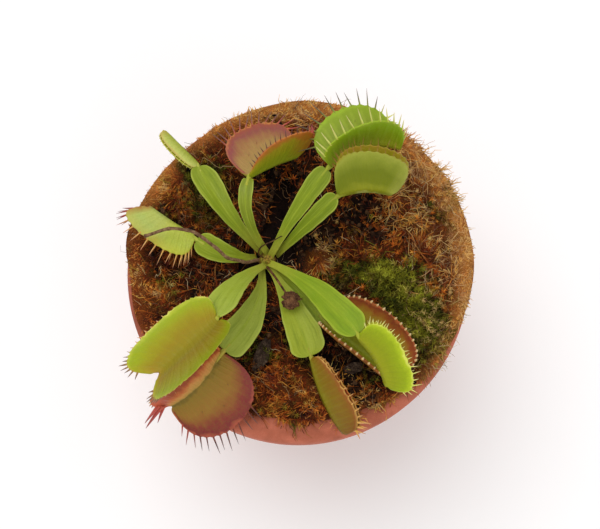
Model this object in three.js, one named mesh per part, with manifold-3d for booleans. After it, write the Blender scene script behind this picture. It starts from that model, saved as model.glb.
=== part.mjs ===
// Potted Venus flytrap: a clay pot filled with soil and moss, and a rosette of ten leaves.
// Millimetres, +Z up. The origin is the centre of the pot's underside.
// Each leaf is one solid: a winged stalk, its short neck, and a two-lobed trap with its fringe of spines.

import * as THREE from 'three';
import { mergeVertices } from 'three/addons/utils/BufferGeometryUtils.js';
import Module from 'manifold-3d';

const wasm = await Module();
wasm.setup();

// ---------------------------------------------------------------- driving dimensions

const pot = {
  height: 96, rimRadius: 55, mouthRadius: 47, collarHeight: 22, collarStep: 5,
  footRadius: 35, floor: 6, wall: 6, drainRadius: 5, edge: 3, sides: 48,
};
const gap = 0.35;                       // air left between pieces that rest on each other
const soil = { top: 92, holeRadius: 4.1, holeDepth: 6 };
const crownAt = new THREE.Vector3(-10, 3.7, 93);   // middle of the rosette
const crown = { radius: 3.2, shoulder: 0.4, neck: 1.8, top: 4.6 };

const blade = { thick: 0.8, ribThick: 1.3, lobeThick: 0.8 };
const spine = { radius: 0.36, sunk: 0.6, first: 16, last: 164, lean: 20 };

// Angles are degrees. A heading or compass of 0 points along +X and 90 along +Y.
// stalk: compass, reach, rise, how far it arches, bends sideways and twists, its widest width
//        and where that lies along it, the width at the neck, and the fold of its two wings.
// root:  where it leaves the crown, outwards and up.
// trap:  direction of the midrib, roll of the mouth, midrib length, lobe depth, how far each lobe
//        leans from the mouth's middle at the hinge and at the margin, and how far the margin
//        runs past the midrib's two ends; bow arches the midrib.
const leaves = [
  { name: 'leaf_01', // young shut trap, far left
    stalk: { compass: 127.5, reach: 36.2, rise: 9, arch: 20, bend: 3.8, width: 8.3,
      widest: 0.84, neck: 1.6, twist: -16, fold: 14 },
    root: { out: 4.3, up: 0.1 },
    trap: { heading: 136, pitch: 9, roll: -56, length: 14.4, depth: 4.8, hinge: 14, margin: 0,
      earBase: 0.25, earTip: 0.2, bow: 0.2 },
    fringe: { count: 9, length: 1.6 } },
  { name: 'leaf_02', // red-lined open trap, far side
    stalk: { compass: 104, reach: 22.3, rise: 21.5, arch: 27, bend: 6, width: 4.4,
      widest: 0.86, neck: 2.6, twist: 15, fold: 10 },
    root: { out: 3.1, up: 2.6 },
    trap: { heading: 30, pitch: -23, roll: -54, length: 18, depth: 15.5, hinge: 58, margin: 36,
      earBase: 0.2, earTip: 0.9, bow: 0.8 },
    fringe: { count: 11, length: 4.6, last: 118 } },
  { name: 'leaf_03', // large green open trap, far right
    stalk: { compass: 52, reach: 30.7, rise: 23.7, arch: 19, bend: 0.6, width: 6.6,
      widest: 0.88, neck: 2.4, twist: 7, fold: 12 },
    root: { out: 2.9, up: 2.6 },
    trap: { heading: 17, pitch: -7.7, roll: -56.7, length: 23.4, depth: 14.3, hinge: 44.6, margin: 46,
      earBase: 0.56, earTip: 0.14, bow: 3.9 },
    fringe: { count: 12, length: 5, first: 56 } },
  { name: 'leaf_04', // shut trap in front of it
    stalk: { compass: 33.5, reach: 26.1, rise: 28, arch: 16, bend: -0.4, width: 6.3,
      widest: 0.9, neck: 1.6, twist: 16, fold: 12 },
    root: { out: 4.3, up: 0.1 },
    trap: { heading: -0.7, pitch: 7.6, roll: -55.7, length: 16, depth: 13.2, hinge: 19, margin: 4,
      earBase: 0.34, earTip: 1.4, bow: 1.7 },
    fringe: { count: 9, length: 3, first: 52 } },
  { name: 'leaf_05', // half open trap on its side, right under the dry stalk
    stalk: { compass: 169, reach: 22.2, rise: 12.3, arch: 12.3, bend: 4.2, width: 7.6,
      widest: 0.86, neck: 2, twist: 2, fold: 16 },
    root: { out: 4.6, up: 0.1 },
    trap: { heading: 148, pitch: 10, roll: -102, length: 17, depth: 8.4, hinge: 32, margin: 22,
      earBase: 0.4, earTip: 1.25, bow: 0.5 },
    fringe: { count: 11, length: 4.2 } },
  { name: 'leaf_06', // largest trap, turned over so that its back shows
    stalk: { compass: -120, reach: 27.7, rise: 38, arch: 23, bend: -3.4, width: 9.6,
      widest: 0.83, neck: 2.4, twist: -22, fold: 12 },
    root: { out: 2.9, up: 2.6 },
    trap: { heading: -134, pitch: 15, roll: 160, length: 23.2, depth: 14.2, hinge: 48, margin: 31,
      earBase: 0.9, earTip: 0.85, bow: 0.4 },
    fringe: { count: 13, length: 3.5 } },
  { name: 'leaf_07', // red-lined wide open trap, near left
    stalk: { compass: -112.5, reach: 33.4, rise: 14.2, arch: 14, bend: 6.3, width: 11,
      widest: 0.9, neck: 2.4, twist: 5, fold: 12 },
    root: { out: 4.4, up: 0.1 },
    trap: { heading: -134, pitch: -10, roll: -45, length: 22.4, depth: 17.6, hinge: 78, margin: 55,
      earBase: 0.35, earTip: 0.55, bow: 3 },
    fringe: { count: 13, length: 5 } },
  { name: 'leaf_08', // nearly shut ochre trap, near side
    stalk: { compass: -66.5, reach: 34.8, rise: 9, arch: 11, bend: 1.4, width: 11.2,
      widest: 0.9, neck: 2, twist: 6, fold: 12 },
    root: { out: 4.2, up: 1.8 },
    trap: { heading: -66, pitch: -2.5, roll: -49, length: 24.6, depth: 8.9, hinge: 15, margin: 1,
      earBase: 0.2, earTip: 0.1, bow: -1.8 },
    fringe: { count: 11, length: 5 } },
  { name: 'leaf_09', // bright green trap on the broadest stalk, near right
    stalk: { compass: -45, reach: 39.2, rise: 28.7, arch: 21, bend: 3.6, width: 10,
      widest: 0.88, neck: 2.2, twist: 7, fold: 12 },
    root: { out: 2.8, up: 3.2 },
    trap: { heading: -59.5, pitch: -10.2, roll: -84.3, length: 16.8, depth: 9, hinge: 35.6, margin: 23.1,
      earBase: 0.61, earTip: 1.07, bow: 1.4 },
    fringe: { count: 14, length: 4.5 } },
  { name: 'leaf_10', // low open trap underneath it, mouth up
    stalk: { compass: -49, reach: 27.8, rise: 6.5, arch: 6, bend: 0.6, width: 4.4,
      widest: 0.85, neck: 2, twist: -2, fold: 12 },
    root: { out: 4.4, up: 0.1 },
    trap: { heading: -39, pitch: -1.5, roll: -25.5, length: 26, depth: 15.8, hinge: 47, margin: 26,
      earBase: 0.45, earTip: 0.5, bow: 0.7 },
    fringe: { count: 14, length: 4.5 } },
];

// moss: height at the crown and at the rim, thickness lying on the rim, and how far it creeps
// over the rim from the mouth, least and most; rows follow rays from the crown.
const moss = {
  inner: 94.2, outer: 97.2, bump: 0.7, onRim: 1.1, creepLeast: 0.9, creepMost: 10.3,
  clearing: 9.5, step: 6,
};
const greenFrom = -40;                  // the green moss lies in this sector, seen from the crown
const greenTo = 8;

const dryStalk = { radius: 0.45, sides: 5 };
const withered = { radius: 2.9, stalk: 0.4 };
const chips = [
  { name: 'dead_leaf_1', at: [-11.5, -27.5], long: 11, wide: 4.5, turn: 70 },
  { name: 'dead_leaf_2', at: [17.5, -31.5], long: 6.5, wide: 3.5, turn: 15 },
];

// ---------------------------------------------------------------- materials

const paint = (color, roughness) => new THREE.MeshStandardMaterial({ color, roughness, metalness: 0 });
const terracotta = paint(0xb8644a, 0.85);
const darkSoil = paint(0x2a1c1a, 0.95);
const rustMoss = paint(0x8a4f22, 0.95);
const greenMoss = paint(0x6f7a1e, 0.95);
const leafGreen = paint(0x9bb52c, 0.5);
const rootPale = paint(0xb9bf6a, 0.6);
const dryBrown = paint(0x5a3d2a, 0.8);

// ---------------------------------------------------------------- small tools

const rad = THREE.MathUtils.degToRad;
const mix = THREE.MathUtils.lerp;
const smooth = (x) => THREE.MathUtils.smoothstep(x, 0, 1);
const offset = (p, dir, d) => p.clone().addScaledVector(dir, d);
const cross = (a, b) => new THREE.Vector3().crossVectors(a, b).normalize();
const compassDir = (deg) => new THREE.Vector3(Math.cos(rad(deg)), Math.sin(rad(deg)), 0);
const count = (n) => Array.from({ length: n }, (_, i) => i);

function toSolid(geometry) {
  const bare = new THREE.BufferGeometry();
  bare.setAttribute('position', geometry.getAttribute('position'));
  bare.setIndex(geometry.getIndex());
  const merged = mergeVertices(bare, 1e-4);
  return new wasm.Manifold(new wasm.Mesh({
    numProp: 3,
    vertProperties: new Float32Array(merged.getAttribute('position').array),
    triVerts: new Uint32Array(merged.getIndex().array),
  }));
}

function fromSolid(solid) {
  const mesh = solid.getMesh();
  const geometry = new THREE.BufferGeometry();
  geometry.setAttribute('position', new THREE.BufferAttribute(new Float32Array(mesh.vertProperties), 3));
  geometry.setIndex(new THREE.BufferAttribute(new Uint32Array(mesh.triVerts), 1));
  geometry.computeVertexNormals();
  return geometry;
}

const fuse = (geometries) => fromSolid(geometries.map(toSolid).reduce((a, b) => a.add(b)));

function makeMesh(name, geometry, material) {
  const mesh = new THREE.Mesh(geometry, material);
  mesh.name = name;
  return mesh;
}

// A closed plate between two grids of points of the same size, upper and lower.
function plate(upper, lower) {
  const rows = upper.length;
  const cols = upper[0].length;
  const points = [...upper.flat(), ...lower.flat()];
  const top = (i, j) => i * cols + j;
  const under = (i, j) => rows * cols + i * cols + j;
  const index = [];
  for (let i = 0; i < rows - 1; i += 1) {
    for (let j = 0; j < cols - 1; j += 1) {
      index.push(top(i, j), top(i + 1, j), top(i + 1, j + 1), top(i, j), top(i + 1, j + 1), top(i, j + 1));
      index.push(under(i, j), under(i + 1, j + 1), under(i + 1, j));
      index.push(under(i, j), under(i, j + 1), under(i + 1, j + 1));
    }
  }
  const wall = (a, b, c, d) => index.push(a, b, c, a, c, d);
  for (let i = 0; i < rows - 1; i += 1) {
    wall(top(i + 1, 0), top(i, 0), under(i, 0), under(i + 1, 0));
    wall(top(i, cols - 1), top(i + 1, cols - 1), under(i + 1, cols - 1), under(i, cols - 1));
  }
  for (let j = 0; j < cols - 1; j += 1) {
    wall(top(0, j), top(0, j + 1), under(0, j + 1), under(0, j));
    wall(top(rows - 1, j + 1), top(rows - 1, j), under(rows - 1, j), under(rows - 1, j + 1));
  }
  const geometry = new THREE.BufferGeometry().setFromPoints(points);
  geometry.setIndex(index);
  return geometry;
}

function rod(points, radius, sides, steps) {
  const corner = (i) => new THREE.Vector2(Math.cos((i / sides) * Math.PI * 2), Math.sin((i / sides) * Math.PI * 2));
  const section = new THREE.Shape(count(sides).map((i) => corner(i).multiplyScalar(radius)));
  const extrudePath = new THREE.CatmullRomCurve3(points);
  return new THREE.ExtrudeGeometry(section, { steps, bevelEnabled: false, extrudePath });
}

// ---------------------------------------------------------------- pot, soil and crown

const collarBottom = pot.height - pot.collarHeight;
const wallSlope = (z) => mix(pot.footRadius, pot.rimRadius - pot.collarStep, z / collarBottom);
const innerRadius = (z) => (z < collarBottom
  ? wallSlope(z) - pot.wall
  : mix(wallSlope(collarBottom) - pot.wall, pot.mouthRadius, (z - collarBottom) / pot.collarHeight));

function makePot() {
  const arc = (cx, cz, r, from, to) => count(4).map((i) => {
    const a = rad(mix(from, to, i / 3));
    return new THREE.Vector2(cx + Math.cos(a) * r, cz + Math.sin(a) * r);
  });
  const lip = pot.edge / 2;
  const profile = [
    new THREE.Vector2(pot.drainRadius, 0),
    new THREE.Vector2(pot.footRadius - 1, 0),
    new THREE.Vector2(pot.footRadius, 1),
    new THREE.Vector2(wallSlope(collarBottom), collarBottom),
    new THREE.Vector2(pot.rimRadius - 1.6, collarBottom),
    new THREE.Vector2(pot.rimRadius - 0.6, collarBottom + 1),
    ...arc(pot.rimRadius - pot.edge, pot.height - pot.edge, pot.edge, 0, 90),
    ...arc(pot.mouthRadius + lip, pot.height - lip, lip, 90, 180),
    new THREE.Vector2(innerRadius(collarBottom), collarBottom),
    new THREE.Vector2(innerRadius(pot.floor), pot.floor),
    new THREE.Vector2(pot.drainRadius, pot.floor),
    new THREE.Vector2(pot.drainRadius, 0),
  ];
  const geometry = new THREE.LatheGeometry(profile, pot.sides);
  geometry.rotateX(Math.PI / 2);
  return makeMesh('pot', fromSolid(toSolid(geometry)), terracotta);
}

function makeSoil() {
  const profile = [
    new THREE.Vector2(0, pot.floor + gap),
    new THREE.Vector2(innerRadius(pot.floor) - gap, pot.floor + gap),
    new THREE.Vector2(innerRadius(collarBottom) - gap, collarBottom),
    new THREE.Vector2(innerRadius(soil.top) - gap, soil.top),
    new THREE.Vector2(0, soil.top),
  ];
  const body = new THREE.LatheGeometry(profile, pot.sides);
  body.rotateX(Math.PI / 2);
  const hole = new THREE.CylinderGeometry(soil.holeRadius, soil.holeRadius, soil.holeDepth * 2, 20);
  hole.rotateX(Math.PI / 2);
  hole.translate(crownAt.x, crownAt.y, soil.top);
  return makeMesh('soil', fromSolid(toSolid(body).subtract(toSolid(hole))), darkSoil);
}

function makeCrown() {
  const bottom = soil.top - soil.holeDepth + gap - crownAt.z;
  const profile = [
    new THREE.Vector2(0, bottom),
    new THREE.Vector2(crown.radius * 0.7, bottom),
    new THREE.Vector2(crown.radius, bottom + 1.5),
    new THREE.Vector2(crown.radius, crown.shoulder),
    new THREE.Vector2(crown.neck, crown.shoulder + 1.4),
    new THREE.Vector2(crown.neck * 0.9, crown.top - 0.8),
    new THREE.Vector2(crown.neck * 0.5, crown.top - 0.1),
    new THREE.Vector2(0, crown.top),
  ];
  const geometry = new THREE.LatheGeometry(profile, 16);
  geometry.rotateX(Math.PI / 2);
  return makeMesh('crown', fromSolid(toSolid(geometry)), rootPale);
}

// ---------------------------------------------------------------- leaves

// Centre line and wings of the stalk, from the crown (0,0,0) outwards.
function stalkFrame({ stalk, root }, t) {
  const out = compassDir(stalk.compass);
  const sideways = new THREE.Vector3(-out.y, out.x, 0);
  const p0 = out.clone().multiplyScalar(root.out).setZ(root.up);
  const p2 = out.clone().multiplyScalar(stalk.reach).setZ(stalk.rise);
  const p1 = offset(out.clone().multiplyScalar(stalk.reach / 2), sideways, stalk.bend).setZ(stalk.arch);
  const curve = new THREE.QuadraticBezierCurve3(p0, p1, p2);
  const tangent = curve.getTangent(t);
  const flatSide = cross(tangent, new THREE.Vector3(0, 0, 1));
  const side = flatSide.applyAxisAngle(tangent, -rad(stalk.twist) * smooth(t * 1.5));
  return { at: curve.getPoint(t), tangent, side, normal: cross(side, tangent) };
}

function stalkHalfWidth({ stalk }, t) {
  const foot = 1.1;
  const most = stalk.width / 2;
  if (t < stalk.widest) return mix(foot, most, smooth(t / stalk.widest));
  const x = (t - stalk.widest) / (1 - stalk.widest);
  return mix(stalk.neck / 2, most, Math.sqrt(Math.max(0, 1 - x * x)));
}

function makeStalk(leaf) {
  const across = [-1, -0.55, 0, 0.55, 1];
  const steps = [0, 0.14, 0.3, 0.46, 0.62, 0.78, 0.9, 0.97, 1];
  const face = (sign) => steps.map((t) => {
    const frame = stalkFrame(leaf, t);
    const half = stalkHalfWidth(leaf, t);
    return across.map((w) => {
      const lift = Math.abs(w) ** 1.4 * half * Math.tan(rad(leaf.stalk.fold));
      const thick = mix(blade.ribThick, blade.thick, Math.abs(w));
      const p = offset(offset(frame.at, frame.side, w * half), frame.normal, lift);
      return offset(p, frame.normal, (sign * thick) / 2);
    });
  });
  return plate(face(-1), face(1));
}

// Axes of the trap: along the midrib, out of the mouth, and across towards one lobe.
function trapFrame(leaf) {
  const { trap } = leaf;
  const end = stalkFrame(leaf, 1);
  const ribDir = compassDir(trap.heading).multiplyScalar(Math.cos(rad(trap.pitch))).setZ(Math.sin(rad(trap.pitch)));
  const right = cross(ribDir, new THREE.Vector3(0, 0, 1));
  const up = cross(right, ribDir);
  const mouth = up.multiplyScalar(Math.cos(rad(trap.roll))).addScaledVector(right, Math.sin(rad(trap.roll)));
  return { base: offset(end.at, end.tangent, 1.5), ribDir, mouth, lobeDir: cross(ribDir, mouth), end };
}

// A point of the trap's inner face: turn goes 0..180 along the midrib, w goes -1..1 from one
// margin over the hinge to the other.
function lobePoint(leaf, frame, turn, w) {
  const { trap } = leaf;
  const v = Math.abs(w);
  const half = trap.length / 2;
  const u = (1 - Math.cos(rad(turn))) / 2;
  const swell = Math.sin(rad(turn));
  const ear = mix(trap.earBase, trap.earTip, u) * swell ** 0.6;
  const rib = -Math.cos(rad(turn)) * half;
  const x = half + rib * (1 + ear * v);
  const deep = trap.depth * swell ** 0.65;
  const a0 = rad(trap.hinge);
  const bend = rad(trap.margin) - a0;
  const rise = (Math.sin(a0 + bend * v) - Math.sin(a0)) / bend;
  const spread = (Math.cos(a0) - Math.cos(a0 + bend * v)) / bend;
  const bow = trap.bow * (1 - (2 * u - 1) ** 2);
  return offset(offset(offset(frame.base, frame.ribDir, x), frame.mouth, deep * rise + bow),
    frame.lobeDir, Math.sign(w) * deep * spread);
}

function outwardNormal(leaf, frame, turn, w) {
  const d = 0.01;
  const alongRib = lobePoint(leaf, frame, turn + 1, w).sub(lobePoint(leaf, frame, turn - 1, w));
  const across = lobePoint(leaf, frame, turn, w + d).sub(lobePoint(leaf, frame, turn, w - d));
  return cross(across, alongRib).negate();
}

const marginTurn = (leaf, i) => mix(leaf.fringe.first ?? spine.first, leaf.fringe.last ?? spine.last,
  i / (leaf.fringe.count - 1));

function makeTrap(leaf) {
  const frame = trapFrame(leaf);
  const turns = [3, 12, 28, 47, 68, 90, 112, 133, 152, 168, 177];
  const across = [-1, -0.65, -0.3, 0, 0.3, 0.65, 1];
  const inner = turns.map((turn) => across.map((w) => lobePoint(leaf, frame, turn, w)));
  const outer = turns.map((turn) => across.map((w) => (
    offset(lobePoint(leaf, frame, turn, w), outwardNormal(leaf, frame, turn, w), blade.lobeThick))));
  return { frame, shell: plate(outer, inner) };
}

function makeSpine(leaf, frame, turn, sign) {
  const tip = lobePoint(leaf, frame, turn, sign);
  const inner = lobePoint(leaf, frame, turn, sign * 0.9);
  const dir = tip.clone().sub(inner).normalize().multiplyScalar(Math.cos(rad(spine.lean)))
    .addScaledVector(frame.mouth, Math.sin(rad(spine.lean))).normalize();
  const root = offset(tip, outwardNormal(leaf, frame, turn, sign * 0.95), blade.lobeThick / 2);
  const length = leaf.fringe.length * (0.5 + 0.5 * Math.sin(rad(turn))) + spine.sunk;
  const cone = new THREE.ConeGeometry(spine.radius, length, 3);
  cone.translate(0, length / 2 - spine.sunk, 0);
  cone.applyQuaternion(new THREE.Quaternion().setFromUnitVectors(new THREE.Vector3(0, 1, 0), dir));
  return cone.translate(root.x, root.y, root.z);
}

function makeLeaf(leaf) {
  const { frame, shell } = makeTrap(leaf);
  const ribEnd = offset(frame.base, frame.ribDir, leaf.trap.length * 0.2);
  const neckPath = [offset(frame.end.at, frame.end.tangent, -1.5), frame.base, offset(ribEnd, frame.mouth, -0.3)];
  const neck = rod(neckPath, blade.ribThick * 0.6, 5, 4);
  const spines = count(leaf.fringe.count).flatMap((i) => [-1, 1].map((sign) => (
    makeSpine(leaf, frame, marginTurn(leaf, i), sign))));
  return makeMesh(leaf.name, fuse([makeStalk(leaf), shell, neck, ...spines]), leafGreen);
}

// ---------------------------------------------------------------- moss and dry pieces

const creepAt = (turn) => {
  const lap = THREE.MathUtils.clamp(0.5 + 0.68 * Math.cos(rad(turn - 45)), 0, 1);
  const left = 0.35 * Math.exp(-(((Math.abs(turn) - 180) / 30) ** 2));
  const ragged = 0.5 * Math.sin(rad(turn * 7)) + 0.4 * Math.sin(rad(turn * 13 + 40));
  return mix(moss.creepLeast, moss.creepMost, Math.min(lap + left, 1)) + ragged * (1 - lap);
};

// Bare soil lies round the crown, and runs out from it towards the far side.
const clearingAt = (turn) => moss.clearing + 22 * Math.exp(-(((turn - 77) / 11) ** 2));

function mossHeight(x, y) {
  const r = Math.min(Math.hypot(x, y) / pot.mouthRadius, 1);
  const turn = Math.atan2(y - crownAt.y, x - crownAt.x);
  const hollow = 1.6 * Math.exp(-(((turn - rad(-50)) / 0.3) ** 2)) * (1 - r ** 6);
  const bumps = Math.sin(x * 0.55 + 1.3 * Math.sin(y * 0.21)) * Math.cos(y * 0.5 + Math.sin(x * 0.3));
  return mix(moss.inner, moss.outer, smooth(r)) + moss.bump * bumps - hollow;
}

function makeMoss(name, from, to, material) {
  const rows = Math.round((to - from) / moss.step);
  const wallAt = innerRadius(soil.top) - gap - 0.1;
  const rowAt = (i) => {
    const turn = mix(from, to, i / rows);
    const dir = compassDir(turn);
    const sideways = new THREE.Vector2(-dir.y, dir.x).multiplyScalar(i === 0 ? gap / 2 : i === rows ? -gap / 2 : 0);
    const b = crownAt.x * dir.x + crownAt.y * dir.y;
    const c = crownAt.x ** 2 + crownAt.y ** 2 - wallAt ** 2;
    const wall = -b + Math.sqrt(b * b - c);
    const first = clearingAt(turn);
    const wide = [0, 0.08, 0.3, 0.52, 0.74, 0.92, 1].map((s) => mix(first, wall, s));
    const place = (d) => new THREE.Vector2(crownAt.x + dir.x * d, crownAt.y + dir.y * d).add(sideways);
    const onWall = place(wall);
    const outward = onWall.clone().normalize();
    const creep = creepAt(THREE.MathUtils.radToDeg(onWall.angle()) - (onWall.angle() > Math.PI ? 360 : 0));
    const laps = [0.12, creep / 2, creep].map((d) => onWall.clone().addScaledVector(outward, d));
    return { inside: wide.map(place), laps };
  };
  const rowsOfPoints = count(rows + 1).map(rowAt);
  const rimTop = pot.height + gap;
  const upper = rowsOfPoints.map(({ inside, laps }) => [
    ...inside.map((p, k) => new THREE.Vector3(p.x, p.y, k === 0 ? soil.top + 1.2 : mossHeight(p.x, p.y))),
    ...laps.map((p, k) => new THREE.Vector3(p.x, p.y, k === 2 ? rimTop + 0.6
      : Math.max(rimTop + moss.onRim, mossHeight(p.x, p.y)))),
  ]);
  const lower = rowsOfPoints.map(({ inside, laps }) => [
    ...inside.map((p) => new THREE.Vector3(p.x, p.y, soil.top + gap)),
    ...laps.map((p) => new THREE.Vector3(p.x, p.y, rimTop)),
  ]);
  return makeMesh(name, fromSolid(toSolid(plate(lower, upper))), material);
}

function makeChip({ name, at, long, wide, turn }) {
  const steps = [-1, -0.6, -0.2, 0.2, 0.6, 1];
  const face = (lift) => steps.map((s) => [-1, 0, 1].map((w) => {
    const half = (wide / 2) * Math.sqrt(1.05 - s * s) * (1 + 0.2 * Math.sin(s * 9));
    const dir = compassDir(turn);
    const x = at[0] + dir.x * s * (long / 2) - dir.y * w * half;
    const y = at[1] + dir.y * s * (long / 2) + dir.x * w * half;
    return new THREE.Vector3(x, y, mossHeight(x, y) + lift + 0.5 * w * w);
  }));
  return makeMesh(name, fromSolid(toSolid(plate(face(1.6), face(0.9)))), dryBrown);
}

function makeDryStalk() {
  const path = [[-2.75, -0.4, 3.2], [-7.4, -2.2, 9.6], [-12.6, -1.6, 16], [-16.8, 1.6, 18.9], [-22.6, 5.2, 20.2],
    [-29, 6.2, 20.5], [-37.5, 4, 20.3]].map((p) => new THREE.Vector3(...p));
  return makeMesh('dry_flower_stalk', rod(path, dryStalk.radius, dryStalk.sides, 18), dryBrown);
}

function makeWithered() {
  const at = new THREE.Vector3(7.7, -14.9, 12.2);
  const head = new THREE.IcosahedronGeometry(withered.radius, 1);
  head.scale(1, 0.95, 0.7).translate(at.x, at.y, at.z);
  const path = [new THREE.Vector3(0.1, -2.8, 3.4), new THREE.Vector3(2.6, -7, 10.2), at];
  return makeMesh('withered_trap', fuse([head, rod(path, withered.stalk, 5, 8)]), dryBrown);
}

// ---------------------------------------------------------------- assembly

const plant = new THREE.Group();
plant.position.copy(crownAt);
plant.add(makeCrown(), ...leaves.map(makeLeaf), makeDryStalk(), makeWithered());

const flytrap = new THREE.Group();
flytrap.add(
  makePot(),
  makeSoil(),
  makeMoss('moss_rust', greenTo, greenFrom + 360, rustMoss),
  makeMoss('moss_green', greenFrom, greenTo, greenMoss),
  ...chips.map(makeChip),
  plant,
);

export default flytrap;
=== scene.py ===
# Potted Venus flytrap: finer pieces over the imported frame, with materials, light and camera.
# Sizes in the dictionaries are millimetres and degrees, unless a comment says otherwise.
# The scene itself is in metres.
import math
import random
import bpy
import numpy as np
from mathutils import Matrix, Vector


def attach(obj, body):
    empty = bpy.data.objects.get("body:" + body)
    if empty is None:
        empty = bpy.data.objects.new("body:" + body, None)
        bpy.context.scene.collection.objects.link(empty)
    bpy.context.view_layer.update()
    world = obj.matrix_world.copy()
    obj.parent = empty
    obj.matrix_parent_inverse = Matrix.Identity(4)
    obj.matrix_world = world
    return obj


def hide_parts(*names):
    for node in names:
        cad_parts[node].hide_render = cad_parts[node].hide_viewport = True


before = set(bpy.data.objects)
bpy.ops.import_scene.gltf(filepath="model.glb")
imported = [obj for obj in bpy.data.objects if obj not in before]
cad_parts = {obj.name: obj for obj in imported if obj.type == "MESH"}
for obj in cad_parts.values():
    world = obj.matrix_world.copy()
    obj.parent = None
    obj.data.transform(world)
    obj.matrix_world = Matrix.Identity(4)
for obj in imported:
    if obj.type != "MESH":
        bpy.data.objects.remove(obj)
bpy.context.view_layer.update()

mm = 0.001  # in the scene's metres


def unit(v):
    return v / np.maximum(np.linalg.norm(v, axis=-1, keepdims=True), 1e-12)


def smooth(x):
    x = np.clip(x, 0, 1)
    return x * x * (3 - 2 * x)


def ripple(x, y, z=0.0, seed=0.0):  # a smooth uneven field, about -1..1
    a = np.sin(x * 1.00 + seed) * np.cos(y * 1.13 - seed * 1.7) + np.sin((x + y) * 0.71 + z + seed * 2.3)
    b = np.sin(x * 2.30 - y * 1.90 + seed * 0.9 + 1.3 * np.sin(y * 0.8 + z)) * 0.5
    return (a + b) / 2.1


def newObject(name, verts, faces, material, attributes=None):  # attributes are values for each vertex
    mesh = bpy.data.meshes.new(name)
    mesh.from_pydata((np.asarray(verts) * mm).tolist(), [], faces)
    mesh.update()
    mesh.polygons.foreach_set("use_smooth", [True] * len(mesh.polygons))
    for key, values in (attributes or {}).items():
        values = np.asarray(values, dtype=float)
        kind = "FLOAT_VECTOR" if values.ndim == 2 else "FLOAT"
        layer = mesh.attributes.new(key, kind, "POINT")
        layer.data.foreach_set("vector" if values.ndim == 2 else "value", values.ravel())
    mesh.materials.append(material)
    obj = bpy.data.objects.new(name, mesh)
    bpy.context.scene.collection.objects.link(obj)
    return obj


def closedPlate(upper, lower):  # two grids of points of the same shape become one closed skin
    rows, cols = upper.shape[:2]
    n = rows * cols
    top = lambda i, j: i * cols + j
    under = lambda i, j: n + i * cols + j
    faces = []
    for i in range(rows - 1):
        for j in range(cols - 1):
            faces.append((top(i, j), top(i, j + 1), top(i + 1, j + 1), top(i + 1, j)))
            faces.append((under(i, j), under(i + 1, j), under(i + 1, j + 1), under(i, j + 1)))
    for i in range(rows - 1):
        faces.append((top(i, 0), top(i + 1, 0), under(i + 1, 0), under(i, 0)))
        faces.append((top(i + 1, cols - 1), top(i, cols - 1), under(i, cols - 1), under(i + 1, cols - 1)))
    for j in range(cols - 1):
        faces.append((top(0, j + 1), top(0, j), under(0, j), under(0, j + 1)))
        faces.append((top(rows - 1, j), top(rows - 1, j + 1), under(rows - 1, j + 1), under(rows - 1, j)))
    return np.concatenate([upper.reshape(-1, 3), lower.reshape(-1, 3)]), faces


def tube(points, radii, sides=10):  # a closed round rod along points
    points = np.asarray(points, float)
    radii = np.broadcast_to(np.asarray(radii, float), len(points))
    tangents = unit(np.gradient(points, axis=0))
    side = unit(np.cross(tangents[0], [0.13, 0.21, 1.0]))
    verts = []
    for p, t, r in zip(points, tangents, radii):
        side = unit(side - t * np.dot(side, t))
        up = np.cross(t, side)
        for k in range(sides):
            a = 2 * math.pi * k / sides
            verts.append(p + (side * math.cos(a) + up * math.sin(a)) * r)
    n = len(points)
    faces = []
    for i in range(n - 1):
        for k in range(sides):
            after = (k + 1) % sides
            faces.append((i * sides + k, i * sides + after, (i + 1) * sides + after, (i + 1) * sides + k))
    verts += [points[0], points[-1]]
    for k in range(sides):
        after = (k + 1) % sides
        faces.append((n * sides, after, k))
        faces.append((n * sides + 1, (n - 1) * sides + k, (n - 1) * sides + after))
    return np.array(verts), faces


def smoothPath(points, steps):  # a rounded line through a few points
    points = np.asarray(points, float)
    padded = np.vstack([2 * points[0] - points[1], points, 2 * points[-1] - points[-2]])
    out = []
    for s in np.linspace(0, len(points) - 1, steps):
        i = min(int(s), len(points) - 2)
        f = s - i
        a, b, c, d = padded[i:i + 4]
        out.append(0.5 * (2 * b + (c - a) * f + (2 * a - 5 * b + 4 * c - d) * f ** 2
                          + (3 * b - a - 3 * c + d) * f ** 3))
    return np.array(out)


class Nodes:  # short way to add and join the nodes of one tree
    def __init__(self, tree):
        self.tree = tree

    def give(self, socket, value):  # a value is a number, a colour, a finish or another node's output
        if hasattr(value, "is_output"):
            self.tree.links.new(value, socket)
        else:
            socket.default_value = value

    def node(self, kind, inputs=None, **settings):
        made = self.tree.nodes.new(kind)
        for key, value in settings.items():
            setattr(made, key, value)
        for key, value in (inputs or {}).items():
            self.give(made.inputs[key], value)
        return made

    def math(self, operation, a, b=0.5, clamp=False):
        return self.node("ShaderNodeMath", {0: a, 1: b}, operation=operation, use_clamp=clamp).outputs[0]

    def plus(self, a, b):
        return self.math("ADD", a, b)

    def times(self, a, b, clamp=False):
        return self.math("MULTIPLY", a, b, clamp)


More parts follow.
